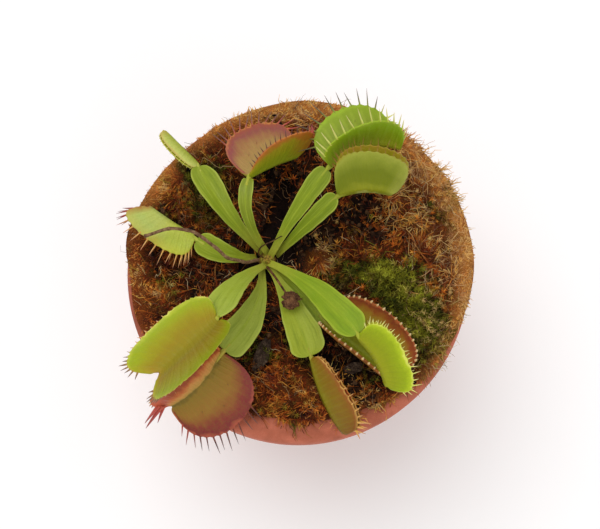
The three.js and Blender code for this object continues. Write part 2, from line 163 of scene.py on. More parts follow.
class Shader(Nodes):
    def mix(self, factor, a, b, blend="MIX"):
        made = self.node("ShaderNodeMix", {0: factor}, data_type="RGBA", blend_type=blend)
        for index, value in ((6, a), (7, b)):
            self.give(made.inputs[index], value if hasattr(value, "is_output") else (*value, 1))
        return made.outputs[2]

    def ramp(self, factor, row):
        made = self.node("ShaderNodeValToRGB", {0: factor})
        elements = made.color_ramp.elements
        while len(elements) < len(row):
            elements.new(0.5)
        for element, (place, colour) in zip(elements, row):
            element.position = place
            element.color = (*colour, 1)
        return made.outputs[0]

    def range(self, value, low, high, newLow=0.0, newHigh=1.0):
        return self.node("ShaderNodeMapRange",
                         {0: value, 1: low, 2: high, 3: newLow, 4: newHigh}).outputs[0]

    def attribute(self, name):
        return self.node("ShaderNodeAttribute", attribute_name=name).outputs["Fac"]

    def inMillimetres(self):
        place = self.node("ShaderNodeTexCoord").outputs["Object"]
        return self.node("ShaderNodeMapping", {"Vector": place, "Scale": (1000, 1000, 1000)}).outputs[0]

    def noise(self, vector, scale, detail=2.0, rough=0.5, warp=0.0):
        return self.node("ShaderNodeTexNoise", {"Vector": vector, "Scale": scale, "Detail": detail,
                                                "Roughness": rough, "Distortion": warp}).outputs["Fac"]

    def group(self, tree, **values):
        made = self.node("ShaderNodeGroup", node_tree=tree)
        for key, value in values.items():
            self.give(made.inputs[key.replace("_", " ")], value)
        return made.outputs

    def finish(self, surface, values):
        for label, value in values.items():
            self.give(surface.inputs[label], value)


def linear(r, g, b):  # colours are given as a screen shows them, 0..255
    return tuple(c / 255 / 12.92 if c <= 10.3 else ((c / 255 + 0.055) / 1.055) ** 2.4 for c in (r, g, b))


def stops(*rows):  # the stops of a ramp, each as place, red, green and blue
    return [(place, linear(*colour)) for place, *colour in rows]


def newGroup(name, inputs, outputs):
    tree = bpy.data.node_groups.new(name, "ShaderNodeTree")
    for label, kind, default in inputs:
        socket = tree.interface.new_socket(label, in_out="INPUT", socket_type=kind)
        socket.default_value = default
    for label, kind in outputs:
        tree.interface.new_socket(label, in_out="OUTPUT", socket_type=kind)
    shader = Shader(tree)
    return tree, shader, shader.node("NodeGroupInput").outputs, shader.node("NodeGroupOutput").inputs


def makeMottle():  # soft patches and fine specks, as a mask each
    tree, s, given, out = newGroup("mottle", [("Patch Size", "NodeSocketFloat", 4.0),
                                              ("Speck Size", "NodeSocketFloat", 0.4),
                                              ("Seed", "NodeSocketFloat", 0.0)],
                                   [("Patches", "NodeSocketFloat"), ("Specks", "NodeSocketFloat")])
    place = s.inMillimetres()
    shift = s.node("ShaderNodeCombineXYZ",
                   {0: given["Seed"], 1: given["Seed"], 2: given["Seed"]}).outputs[0]
    place = s.node("ShaderNodeVectorMath", {0: place, 1: shift}, operation="ADD").outputs[0]
    patches = s.noise(place, s.math("DIVIDE", 1.0, given["Patch Size"]), 3, 0.55, 0.4)
    specks = s.noise(place, s.math("DIVIDE", 1.0, given["Speck Size"]), 2, 0.6)
    s.tree.links.new(s.range(patches, 0.32, 0.68), out["Patches"])
    s.tree.links.new(s.range(specks, 0.35, 0.65), out["Specks"])
    return tree


def makeSkinGrain():  # fine cells and pores of living tissue, as a normal
    tree, s, given, out = newGroup("skinGrain", [("Cell Size", "NodeSocketFloat", 0.35),
                                                 ("Strength", "NodeSocketFloat", 0.3),
                                                 ("Ribs", "NodeSocketFloat", 0.0)],
                                   [("Normal", "NodeSocketVector")])
    place = s.inMillimetres()
    cells = s.node("ShaderNodeTexVoronoi",
                   {"Vector": place, "Scale": s.math("DIVIDE", 1.0, given["Cell Size"])},
                   feature="SMOOTH_F1").outputs["Distance"]
    soft = s.noise(place, 0.6, 3, 0.5)
    height = s.plus(s.times(cells, 0.35), s.times(soft, 1.1))
    height = s.plus(height, s.times(given["Ribs"], 0.6))
    bump = s.node("ShaderNodeBump", {"Strength": given["Strength"], "Distance": 0.0004, "Height": height})
    s.tree.links.new(bump.outputs[0], out["Normal"])
    return tree


def makeRoughGrain():  # crumbs and grit of clay, soil and dead matter, as a normal
    tree, s, given, out = newGroup("roughGrain", [("Grain Size", "NodeSocketFloat", 0.5),
                                                  ("Lump Size", "NodeSocketFloat", 4.0),
                                                  ("Strength", "NodeSocketFloat", 0.5)],
                                   [("Normal", "NodeSocketVector"), ("Height", "NodeSocketFloat")])
    place = s.inMillimetres()
    grain = s.noise(place, s.math("DIVIDE", 1.0, given["Grain Size"]), 4, 0.65)
    lumps = s.noise(place, s.math("DIVIDE", 1.0, given["Lump Size"]), 3, 0.5, 0.3)
    height = s.plus(s.times(grain, 0.45), lumps)
    bump = s.node("ShaderNodeBump", {"Strength": given["Strength"], "Distance": 0.0012, "Height": height})
    s.tree.links.new(bump.outputs[0], out["Normal"])
    s.tree.links.new(height, out["Height"])
    return tree


mottle = makeMottle()
skinGrain = makeSkinGrain()
roughGrain = makeRoughGrain()


def newMaterial(name):
    material = bpy.data.materials.new(name)
    material.use_nodes = True
    material.node_tree.nodes.clear()
    shader = Shader(material.node_tree)
    surface = shader.node("ShaderNodeBsdfPrincipled")
    output = shader.node("ShaderNodeOutputMaterial")
    material.node_tree.links.new(surface.outputs[0], output.inputs[0])
    return material, shader, surface


tissue = dict(roughness=0.5, shine=0.24, underGlow=0.05, glowReach=(0.5, 0.8, 0.15), glowDepth=1.2 * mm,
              cellSize=0.42, grain=0.35)


def tissueMaterial(name, look, seed):
    material, s, surface = newMaterial(name)
    course, span = s.attribute("course"), s.attribute("span")
    inside, part = s.attribute("inside"), s.attribute("part")
    side = s.math("GREATER_THAN", span, 0.0)
    reach = s.math("ABSOLUTE", span)
    spots = s.group(mottle, Patch_Size=5.0, Speck_Size=0.5, Seed=seed * 7.3)
    uneven = s.plus(reach, s.range(spots["Patches"], 0, 1, -0.07, 0.07))

    # stalk: green wings, paler midline, rims paler with a painted highlight, paler towards the crown
    wing = s.ramp(reach, [(0.0, look["midline"]), (0.14, look["stalk"]), (0.55, look["stalkDeep"]),
                          (0.84, look["stalk"]), (0.95, look["stalkRimHighlight"])])
    wing = s.mix(s.range(course, 0.34, 0.02, 0, 0.85), wing, look["base"])
    wing = s.mix(s.times(spots["Patches"], 0.35), wing, look["stalkPatch"])
    lengthwise = s.node("ShaderNodeCombineXYZ", {0: s.times(course, 3.0), 1: s.times(span, 7.0),
                                                 2: part}).outputs[0]
    lightAndShadeStreaks = s.noise(lengthwise, 1.0, 3, 0.6)
    # lengthwise streaks: the lighter ones are painted highlights, the darker ones painted shade
    wing = s.mix(s.range(lightAndShadeStreaks, 0.52, 0.72, 0, 0.5), wing, look["stalkRimHighlight"])
    wing = s.mix(s.range(lightAndShadeStreaks, 0.48, 0.32, 0, 0.4), wing, look["stalkShade"])

    # trap: each face has colours from the hinge to the margin
    outer = s.ramp(uneven, look["outer"])
    inner = s.ramp(uneven, look["inner"])
    if "innerOther" in look:
        inner = s.mix(side, inner, s.ramp(uneven, look["innerOther"]))
    trap = s.mix(inside, outer, inner)
    for tint in look.get("tints", ()):
        mask = s.range(course, tint["from"], tint["to"])
        if "span" in tint:
            mask = s.times(mask, s.range(span, *tint["span"]))
        patchy = s.plus(s.times(spots["Patches"], 0.5), 0.6)
        mask = s.times(mask, patchy, clamp=True)
        trap = s.mix(s.times(mask, tint["share"]), trap, tint["colour"])

    # fine parallel veins run from the hinge to the margin
    turn = s.math("ARCCOSINE", s.math("SUBTRACT", 1.0, s.times(course, 2.0)))
    sway = s.range(spots["Patches"], 0, 1, -0.5, 0.5)
    lanes = s.math("COSINE", s.plus(s.times(turn, 2.0 * look.get("ribs", 17)), sway))
    veins = s.times(s.range(lanes, 0.1, 1.0), s.range(reach, 0.97, 0.75))
    share = s.range(inside, 0, 1, *look.get("ribShares", (0.07, 0.07)))
    trap = s.mix(s.times(veins, share), trap, look["vein"])

    colour = s.mix(part, wing, trap)
    colour = s.mix(s.times(spots["Specks"], 0.16), colour, look["speck"])
    grain = s.group(skinGrain, Cell_Size=tissue["cellSize"], Strength=tissue["grain"],
                    Ribs=s.times(veins, part))
    smoothest, roughest = tissue["roughness"] - 0.06, tissue["roughness"] + 0.08
    s.finish(surface, {"Base Color": colour, "Normal": grain["Normal"],
                       "Roughness": s.range(spots["Patches"], 0, 1, smoothest, roughest),
                       "Subsurface Weight": tissue["underGlow"], "Subsurface Radius": tissue["glowReach"],
                       "Subsurface Scale": tissue["glowDepth"], "Specular IOR Level": tissue["shine"]})
    return material


# the colours of the spines run from base to tip, for each lobe and for the trap's far end
def spineMaterial(name, near, far, end, endFrom):
    material, s, surface = newMaterial(name)
    along = s.attribute("along")
    colours = [s.ramp(along, [(0.0, three[0]), (0.35, three[1]), (1.0, three[2])])
               for three in (near, far, end)]
    colour = s.mix(s.math("GREATER_THAN", s.attribute("span"), 0.0), colours[1], colours[0])
    colour = s.mix(s.range(s.attribute("course"), endFrom, endFrom + 0.1), colour, colours[2])
    spots = s.group(mottle, Patch_Size=1.5, Speck_Size=0.2, Seed=3.0)
    colour = s.mix(s.times(spots["Patches"], 0.25), colour, linear(150, 96, 60))
    s.finish(surface, {"Base Color": colour, "Roughness": 0.45, "Specular IOR Level": 0.3})
    return material


spineDark = (linear(130, 52, 40), linear(86, 48, 46), linear(84, 74, 78))
spineRed = (linear(178, 66, 48), linear(150, 56, 48), linear(110, 60, 62))
spinePale = (linear(196, 208, 70), linear(226, 230, 124), linear(232, 222, 150))
spineTan = (linear(212, 160, 62), linear(226, 176, 96), linear(206, 140, 104))
spineGreyRed = (linear(186, 84, 62), linear(126, 74, 66), linear(96, 86, 88))
spineRust = (linear(158, 146, 44), linear(150, 112, 40), linear(146, 88, 44))
spineBead = (linear(196, 130, 70), linear(224, 190, 130), linear(236, 216, 168))
spineTeeth = (linear(206, 140, 84), linear(214, 170, 110), linear(206, 170, 120))
spinePink = (linear(196, 84, 60), linear(188, 72, 66), linear(150, 76, 76))
spineRose = (linear(220, 104, 88), linear(212, 88, 82), linear(176, 88, 90))
spineBrown = (linear(180, 140, 60), linear(140, 104, 66), linear(104, 88, 80))
spineGrey = (linear(134, 150, 40), linear(92, 100, 56), linear(92, 88, 92))

green = dict(
    # the stalk's rim colour is a painted highlight, used on its rims and light streaks; its shade colour is
    # painted shade in its dark streaks
    stalk=linear(138, 154, 24), stalkDeep=linear(128, 146, 20), stalkPatch=linear(150, 164, 34),
    stalkShade=linear(100, 121, 20), stalkRimHighlight=linear(170, 182, 72), midline=linear(146, 163, 34),
    base=linear(188, 186, 70), vein=linear(186, 183, 48), speck=linear(108, 123, 16),
    outer=stops((0.0, 150, 160, 30), (0.5, 138, 154, 23), (0.95, 172, 183, 46)),
    inner=stops((0.0, 150, 150, 32), (0.6, 150, 158, 30), (0.97, 190, 187, 51)),
)
looks = {
    "leaf_01": {**green, "spine": spinePale, "stalk": linear(132, 148, 26),
                "stalkDeep": linear(124, 143, 24),
                "outer": stops((0.0, 150, 158, 48), (0.45, 182, 190, 84), (0.85, 198, 204, 106),
                               (0.97, 206, 196, 104)),
                "tints": [{"from": 0.84, "to": 1.0, "colour": linear(186, 140, 66), "share": 0.6},
                          {"from": 0.0, "to": 1.0, "span": (0.75, 1.0),
                           "colour": linear(176, 124, 60), "share": 0.5}]},
    "leaf_02": {**green, "spine": spineDark, "spineFar": spineGreyRed, "spineEnd": spineRose,
                "ribShares": (0.04, 0.05), "stalk": linear(124, 137, 30), "stalkDeep": linear(116, 129, 26),
                "stalkPatch": linear(140, 152, 40),
                "outer": stops((0.0, 150, 162, 34), (0.4, 148, 156, 20), (0.8, 160, 142, 24),
                               (0.94, 182, 104, 36), (1.0, 196, 112, 48)),
                "inner": stops((0.0, 170, 142, 78), (0.5, 170, 130, 76), (0.72, 160, 104, 70),
                               (0.86, 148, 74, 72), (0.96, 160, 76, 62), (1.0, 196, 120, 66)),
                "tints": [{"from": 0.62, "to": 0.95, "span": (0.1, 0.5),
                           "colour": linear(190, 92, 34), "share": 0.85},
                          {"from": 0.3, "to": 0.0, "span": (-0.5, -0.9),
                           "colour": linear(146, 68, 80), "share": 0.7}]},
    "leaf_03": {**green, "spine": spinePale, "spineFar": spineGrey, "ribs": 14, "ribShares": (0.04, 0.3),
                "vein": linear(166, 182, 58),
                "stalk": linear(126, 146, 22), "stalkDeep": linear(118, 138, 18),
                "outer": stops((0.0, 150, 154, 22), (0.35, 142, 160, 13), (0.6, 140, 168, 9),
                               (0.9, 140, 176, 14), (1.0, 158, 184, 44)),
                "inner": stops((0.0, 128, 140, 28), (0.5, 130, 146, 32), (0.9, 136, 158, 30),
                               (1.0, 150, 176, 38)),
                "tints": [{"from": 0.3, "to": 0.0, "span": (0.2, 0.8),
                           "colour": linear(160, 180, 24), "share": 0.7}]},
    "leaf_04": {**green, "spine": spineRust, "ribShares": (0.0, 0.0),
                "stalk": linear(120, 140, 22), "stalkDeep": linear(112, 132, 18),
                "stalkPatch": linear(134, 150, 30),
                # outer face: the pale first stop is a painted highlight along the hinge, and the lighter
                # stops towards the margin are painted light on the lobe's upper side
                "outer": stops((0.0, 190, 190, 96), (0.05, 146, 148, 26), (0.25, 118, 126, 8),
                               (0.55, 112, 122, 8), (0.8, 134, 142, 36), (0.94, 152, 156, 54),
                               (1.0, 154, 146, 40)),
                "inner": stops((0.0, 130, 130, 16), (0.8, 150, 144, 20), (1.0, 160, 130, 26)),
                "tints": [{"from": 0.84, "to": 1.0, "colour": linear(170, 170, 74), "share": 0.7}]},
    "leaf_05": {**green, "spine": spineTan, "spineEnd": spineRed,
                "outer": stops((0.0, 186, 188, 84), (0.6, 180, 188, 88), (0.96, 192, 178, 64)),
                "inner": stops((0.0, 140, 146, 20), (0.3, 172, 182, 40), (0.7, 176, 180, 40),
                               (1.0, 182, 134, 36)),
                "tints": [{"from": 0.56, "to": 0.4, "colour": linear(184, 200, 58), "share": 0.6},
                          {"from": 0.5, "to": 0.7, "colour": linear(174, 194, 110), "share": 0.45},
                          {"from": 0.88, "to": 1.0, "colour": linear(168, 88, 36), "share": 0.95}]},
    "leaf_06": {**green, "spine": spineTan, "spineEnd": spineBrown, "endFrom": 0.72, "ribs": 13,
                "ribShares": (0.04, 0.05), "stalk": linear(156, 172, 54), "stalkDeep": linear(146, 164, 44),
                "stalkPatch": linear(174, 186, 78),
                # outer face: the pale last stop is a painted highlight along the margin
                "outer": stops((0.0, 142, 126, 12), (0.25, 150, 126, 8), (0.55, 154, 148, 8),
                               (0.85, 152, 168, 8), (0.96, 182, 190, 48), (1.0, 210, 210, 88)),
                "inner": stops((0.0, 160, 131, 26), (0.7, 170, 103, 30), (1.0, 168, 62, 26)),
                "tints": [{"from": 0.9, "to": 1.0, "colour": linear(176, 130, 34), "share": 0.5}]},
    "leaf_07": {**green, "spine": spineTeeth, "spineFar": spineDark, "spineEnd": spinePink, "endFrom": 0.9,
                "ribShares": (0.03, 0.03), "stalk": linear(152, 164, 56), "stalkDeep": linear(140, 154, 46),
                "stalkPatch": linear(168, 178, 74),
                "inner": stops((0.0, 116, 92, 24), (0.08, 144, 112, 34), (0.45, 154, 110, 42),
                               (0.65, 146, 84, 42), (0.79, 134, 50, 44), (0.93, 124, 38, 44),
                               (1.0, 172, 80, 62)),
                "innerOther": stops((0.0, 130, 104, 40), (0.04, 186, 142, 66), (0.13, 204, 142, 74),
                                    (0.24, 188, 94, 48), (0.34, 150, 58, 34), (0.62, 150, 52, 32),
                                    (1.0, 206, 104, 60)),
                "outer": stops((0.0, 160, 140, 37), (1.0, 190, 103, 42)),
                "tints": [{"from": 0.78, "to": 0.96, "span": (0.1, 0.4),
                           "colour": linear(212, 92, 70), "share": 0.85},
                          {"from": 0.35, "to": 0.05, "span": (-0.4, -0.95),
                           "colour": linear(136, 48, 56), "share": 0.75}]},
    "leaf_08": {**green, "spine": spineTan, "ribShares": (0.04, 0.04),
                "stalk": linear(154, 166, 42), "stalkDeep": linear(146, 160, 38),
                "stalkPatch": linear(166, 176, 54),
                "outer": stops((0.0, 130, 122, 16), (0.4, 133, 105, 14), (0.8, 134, 90, 14),
                               (0.93, 148, 80, 24), (1.0, 206, 156, 80)),
                "inner": stops((0.0, 170, 103, 26), (0.7, 164, 50, 22), (0.93, 176, 70, 34),
                               (1.0, 214, 156, 80)),
                "tints": [{"from": 0.55, "to": 1.0, "colour": linear(120, 64, 20), "share": 0.7}]},
    "leaf_09": {**green, "spine": spinePale,
                "stalk": linear(126, 154, 20), "stalkDeep": linear(118, 148, 18),
                "stalkRimHighlight": linear(156, 176, 46), "midline": linear(140, 164, 30),
                "ribShares": (0.04, 0.04),
                "outer": stops((0.0, 150, 152, 12), (0.35, 142, 152, 6), (0.75, 148, 166, 6),
                               (0.93, 176, 194, 26), (1.0, 216, 220, 90)),
                "inner": stops((0.0, 150, 140, 16), (1.0, 170, 168, 32))},
    "leaf_10": {**green, "spine": spineBead, "ribShares": (0.03, 0.05),
                "inner": stops((0.0, 140, 146, 26), (0.5, 150, 140, 30), (0.72, 158, 122, 34),
                               (0.86, 146, 72, 26), (0.94, 124, 46, 24), (1.0, 170, 84, 44)),
                "outer": stops((0.0, 118, 120, 20), (0.6, 138, 100, 26), (0.93, 138, 72, 28),
                               (1.0, 166, 100, 44)),
                "tints": [{"from": 0.7, "to": 1.0, "colour": linear(176, 72, 48), "share": 0.7}]},
}
crownAt = np.array([-10, 3.7, 93.0])  # the middle of the rosette, which the leaves are measured from

# every leaf stands where the frame has it: compass, heading, pitch and roll aim its stalk and its trap,
# hinge and margin open the lobes, and spines is their number along each margin
leafPlan = {
    "leaf_01": dict(
        stalk=dict(compass=127.5, reach=36.2, rise=9, arch=20, bend=3.8, width=8.3, widest=0.84, neck=1.6,
                   twist=-16, fold=14),
        root=dict(out=4.3, up=0.1),
        trap=dict(heading=136, pitch=9, roll=-56, length=14.6, depth=3.6, hinge=14, margin=-4, earBase=0.25,
                  earTip=0.2, bow=0.2),
        spines=14, reach=0.9, thick=0.16, lean=(75, 75), cusp=0, wave=0),
    "leaf_02": dict(
        stalk=dict(compass=104, reach=22.3, rise=21.5, arch=27, bend=6, width=4.4, widest=0.86, neck=2.6,
                   twist=15, fold=10),
        root=dict(out=3.1, up=2.6),
        trap=dict(heading=30, pitch=-23, roll=-54, length=18, depth=15.5, hinge=58, margin=36, earBase=0.2,
                  earTip=0.9, bow=0.8, earFar=0.62),
        spines=17, reach=5.8, thick=0.26, last=150, lobeFirst=(46, 0), lobeReach=(1.2, 0.5),
        lobeThick=(1, 0.8), lean=(-20, 35), sweep=(0.5, 0),
        tendrils=((136, 3.2, 0.2, (-0.2, 0.9, 0.3)), (144, 3.8, 0.22, (0.05, 0.95, 0.25)),
                  (151, 4.2, 0.24, (-0.1, 0.95, 0.3)),
                  (158, 4.4, 0.24, (0.15, 0.95, 0.2)), (165, 4.2, 0.24, (0.3, 0.9, 0.2)),
                  (172, 3.6, 0.22, (0.5, 0.8, 0.15)))),
    "leaf_03": dict(
        stalk=dict(compass=52, reach=30.7, rise=23.7, arch=19, bend=0.6, width=6.6, widest=0.88, neck=2.4,
                   twist=7, fold=12),
        root=dict(out=2.9, up=2.6),
        trap=dict(heading=17, pitch=-7.7, roll=-56.7, length=23.4, depth=14.3, hinge=44.6, margin=46,
                  earBase=0.56, earTip=0.14, bow=3.9),
        spines=15, reach=6.2, thick=0.27, first=20, lobeReach=(1.4, 1.15), lobeThick=(1.1, 1.15),
        sweep=(0, -0.35), lean=(-8, 52), ends=(1.15, 0.6), cusp=0.34),
    "leaf_04": dict(
        stalk=dict(compass=33.5, reach=26.1, rise=28, arch=16, bend=-0.4, width=6.3, widest=0.9, neck=1.6,
                   twist=16, fold=12),
        root=dict(out=4.3, up=0.1),
        trap=dict(heading=-0.7, pitch=7.6, roll=-55.7, length=16, depth=13.2, hinge=19, margin=4,
                  earBase=0.34, earTip=1.4, bow=1.7),
        spines=17, reach=3.0, thick=0.17, first=26, lean=(30, 30), stray=0.3),
    "leaf_05": dict(
        stalk=dict(compass=169, reach=22.2, rise=12.3, arch=12.3, bend=4.2, width=7.6, widest=0.86, neck=2,
                   twist=2, fold=16),
        root=dict(out=4.6, up=0.1),
        trap=dict(heading=148, pitch=10, roll=-102, length=17, depth=8.4, hinge=32, margin=22, earBase=0.4,
                  earTip=1.25, bow=0.5),
        spines=15, reach=5.0, thick=0.26, spineBow=0.16, fan=0.3),
    "leaf_06": dict(
        stalk=dict(compass=-120, reach=27.7, rise=38, arch=23, bend=-3.4, width=9.6, widest=0.83, neck=2.4,
                   twist=-22, fold=12),
        root=dict(out=2.9, up=2.6),
        trap=dict(heading=-134, pitch=15, roll=160, length=23.2, depth=14.2, hinge=48, margin=31,
                  earBase=0.9, earTip=0.85, bow=0.4),
        spines=26, reach=1.9, thick=0.28, ends=(0.45, 1.5), tuft=1.5, stray=0.3),
    "leaf_07": dict(
        stalk=dict(compass=-112.5, reach=33.4, rise=14.2, arch=14, bend=6.3, width=11, widest=0.9, neck=2.4,
                   twist=5, fold=12),
        root=dict(out=4.4, up=0.1),
        trap=dict(heading=-134, pitch=-10, roll=-45, length=22.4, depth=17.6, hinge=78, margin=55,
                  earBase=0.35, earTip=0.55, bow=3),
        spines=20, reach=7.0, thick=0.3, lobeFirst=(62, 0), lobeReach=(1, 0.3), ends=(0.8, 0.85), fan=0.45,
        sweep=(0.32, 0), spineBow=0.12,
        tendrils=((172, 8.2, 0.85, (-0.58, -0.8, -0.1)), (167, 6.6, 0.7, (-0.6, -0.78, 0.02)),
                  (175, 5.6, 0.6, (-0.36, -0.92, -0.2)))),
    "leaf_08": dict(
        stalk=dict(compass=-66.5, reach=34.8, rise=9, arch=11, bend=1.4, width=11.2, widest=0.9, neck=2,
                   twist=6, fold=12),
        root=dict(out=4.2, up=1.8),
        trap=dict(heading=-66, pitch=-2.5, roll=-49, length=24.6, depth=8.9, hinge=15, margin=-10,
                  earBase=0.1, earTip=0.15, bow=-1.8, slant=0.28),
        spines=15, reach=5.6, thick=0.26, ends=(0.12, 0.5), tuft=2.4, stray=0.4),
    "leaf_09": dict(
        stalk=dict(compass=-45, reach=39.2, rise=28.7, arch=21, bend=3.6, width=10, widest=0.88, neck=2.2,
                   twist=7, fold=12),
        root=dict(out=2.8, up=3.2),
        trap=dict(heading=-59.5, pitch=-10.2, roll=-84.3, length=16.8, depth=9, hinge=35.6,
                  margin=23.1, earBase=0.61, earTip=1.07, bow=1.4),
        spines=18, reach=3.8, thick=0.22, lobeReach=(0.5, 1), lean=(20, 12), ends=(0.9, 0.9), stray=0.34),
    "leaf_10": dict(
        stalk=dict(compass=-49, reach=27.8, rise=6.5, arch=6, bend=0.6, width=4.4, widest=0.85, neck=2,
                   twist=-2, fold=12),
        root=dict(out=4.4, up=0.1),
        trap=dict(heading=-39, pitch=-1.5, roll=-25.5, length=26, depth=15.8, hinge=47, margin=26,
                  earBase=0.45, earTip=0.5, bow=0.7),
        spines=23, reach=0.95, thick=0.5, lean=(74, 74)),
}
leafDetail = dict(stalkSteps=30, endSteps=16, stalkAcross=17, stalkStart=-0.06, endFrom=0.8, footHalf=1.1,
                  rib=1.3, edge=0.42, groove=0.28, keel=0.35, ribWidth=0.16, waver=0.35, wingWaver=0.055,
                  neckGap=1.5, trapTurns=64, trapAcross=33, firstTurn=3, lastTurn=177, lobe=0.8,
                  lobeEdge=0.4, ribSwell=0.55, hingeWidth=0.12, cusp=0.32, cuspFrom=0.88, wave=0.25)
neckShape = dict(steps=18, sunk=2.6, ribFrom=0.6, ribShare=0.3, courses=(0, 0.35, 0.6, 1),
                 radii=(0.55, 0.72, 0.85, 0.3))
spineRoot = dict(lift=0.2, sunk=0.3, tendrilSunk=0.4, jitter=8)
triggerHair = dict(places=((64, 0.42), (90, 0.58), (116, 0.42)), reach=1.5, thick=0.09, sunk=0.1)


def stalkFrame(plan, t):
    stalk, root = plan["stalk"], plan["root"]
    t = np.asarray(t, float)[:, None]
    a = math.radians(stalk["compass"])
    out = np.array([math.cos(a), math.sin(a), 0.0])
    sideways = np.array([-out[1], out[0], 0.0])
    p0 = out * root["out"] + [0, 0, root["up"]]
    p2 = out * stalk["reach"] + [0, 0, stalk["rise"]]
    p1 = out * stalk["reach"] / 2 + sideways * stalk["bend"] + [0, 0, stalk["arch"]]
    at = p0 * (1 - t) ** 2 + 2 * p1 * t * (1 - t) + p2 * t ** 2
    tangent = unit(2 * (1 - t) * (p1 - p0) + 2 * t * (p2 - p1))
    flat = unit(np.cross(tangent, [0, 0, 1.0]))
    turn = -np.radians(stalk["twist"]) * smooth(t * 1.5)
    side = flat * np.cos(turn) + np.cross(tangent, flat) * np.sin(turn)
    return at, tangent, side, unit(np.cross(side, tangent))


def stalkHalfWidth(stalk, t):
    most = stalk["width"] / 2
    foot = leafDetail["footHalf"]
    grow = foot + (most - foot) * smooth(t / stalk["widest"])
    x = np.clip((t - stalk["widest"]) / (1 - stalk["widest"]), 0, 1)
    close = stalk["neck"] / 2 + (most - stalk["neck"] / 2) * np.sqrt(np.maximum(0, 1 - x * x))
    return np.where(t < stalk["widest"], grow, close)


def makeStalk(plan, seed):
    stalk, d = plan["stalk"], leafDetail
    t = np.concatenate([np.linspace(d["stalkStart"], d["endFrom"], d["stalkSteps"], endpoint=False),
                        d["endFrom"] + 0.2 * np.sin(np.linspace(0, math.pi / 2, d["endSteps"]))])
    w = np.sin(np.linspace(-1, 1, d["stalkAcross"]) * math.pi / 2)
    at, tangent, side, normal = stalkFrame(plan, t)
    half = stalkHalfWidth(stalk, t)
    free = smooth(t * 2.5) * smooth((1 - t) * 12)  # wings waver only where they are broad
    wing = np.sign(w)
    waver = 1 + d["wingWaver"] * free[:, None] * ripple(t[:, None] * 17, wing[None, :] * 2.1, 0, seed)
    lift = np.abs(w[None, :]) ** 1.4 * half[:, None] * math.tan(math.radians(stalk["fold"]))
    swell = ripple(t[:, None] * 13, wing[None, :] * 3, 1, seed)
    lift = lift + d["waver"] * free[:, None] * np.abs(w[None, :]) ** 2 * swell
    mid = (at[:, None, :] + side[:, None, :] * (w[None, :] * half[:, None] * waver)[..., None]
           + normal[:, None, :] * lift[..., None])
    thick = d["rib"] + (d["edge"] - d["rib"]) * np.abs(w) ** 0.8
    near = np.exp(-(w / d["ribWidth"]) ** 2)
    tip = smooth((1 - t) * 6)[:, None]
    up = thick[None, :] / 2 - d["groove"] * near[None, :] * tip
    down = thick[None, :] / 2 + d["keel"] * near[None, :] * tip
    upper = mid + normal[:, None, :] * up[..., None]
    lower = mid - normal[:, None, :] * down[..., None]
    verts, faces = closedPlate(upper, lower)
    course = np.broadcast_to(np.clip(t, 0, 1)[:, None], upper.shape[:2]).ravel()
    span = np.broadcast_to(w[None, :], upper.shape[:2]).ravel()
    n = len(course)
    return verts, faces, dict(course=np.tile(course, 2), span=np.tile(span, 2),
                              inside=np.r_[np.ones(n), np.zeros(n)], part=np.zeros(2 * n))


def trapFrame(plan):  # ribDir runs along the hinge, mouth out of the open side, lobeDir across to one lobe
    trap = plan["trap"]
    at, tangent, _, _ = stalkFrame(plan, [1.0])
    h, p, r = (math.radians(trap[k]) for k in ("heading", "pitch", "roll"))
    ribDir = np.array([math.cos(h) * math.cos(p), math.sin(h) * math.cos(p), math.sin(p)])
    right = unit(np.cross(ribDir, [0, 0, 1.0]))
    mouth = np.cross(right, ribDir) * math.cos(r) + right * math.sin(r)
    return dict(base=at[0] + tangent[0] * leafDetail["neckGap"], ribDir=ribDir, mouth=mouth,
                lobeDir=unit(np.cross(ribDir, mouth)), end=at[0], endDir=tangent[0])


# a point of the lobes: turn runs from 0 at the neck to 180 at the far end, and w from the hinge, 0,
# to the margins, -1 and 1
def lobePoint(plan, place, turn, w, cusps=0.0):
    trap = plan["trap"]
    turn, w = np.broadcast_arrays(np.asarray(turn, float), np.asarray(w, float))
    v, half, angle = np.abs(w), trap["length"] / 2, np.radians(turn)
    u, swell = (1 - np.cos(angle)) / 2, np.sin(angle)
    earBase = np.where(w < 0, trap.get("earFar", trap["earBase"]), trap["earBase"])
    ear = (earBase * (1 - u) + trap["earTip"] * u) * swell ** 0.6
    x = half - np.cos(angle) * half * (1 + ear * v)
    deep = trap["depth"] * swell ** 0.65 * (1 + trap.get("slant", 0) * (2 * u - 1)) + cusps
    a0 = math.radians(trap["hinge"])
    bend = math.radians(trap["margin"]) - a0
    rise = (np.sin(a0 + bend * v) - math.sin(a0)) / bend
    spread = (math.cos(a0) - np.cos(a0 + bend * v)) / bend
    bow = trap["bow"] * (1 - (2 * u - 1) ** 2)
    return (place["base"] + place["ribDir"] * x[..., None] + place["mouth"] * (deep * rise + bow)[..., None]
            + place["lobeDir"] * (np.sign(w) * deep * spread)[..., None])


def outwardNormal(plan, place, turn, w):
    alongRib = lobePoint(plan, place, turn + 1, w) - lobePoint(plan, place, turn - 1, w)
    across = lobePoint(plan, place, turn, w + 0.01) - lobePoint(plan, place, turn, w - 0.01)
    return -unit(np.cross(across, alongRib))


def spineTurns(plan):
    return np.linspace(plan.get("first", 13), plan.get("last", 167), plan["spines"])


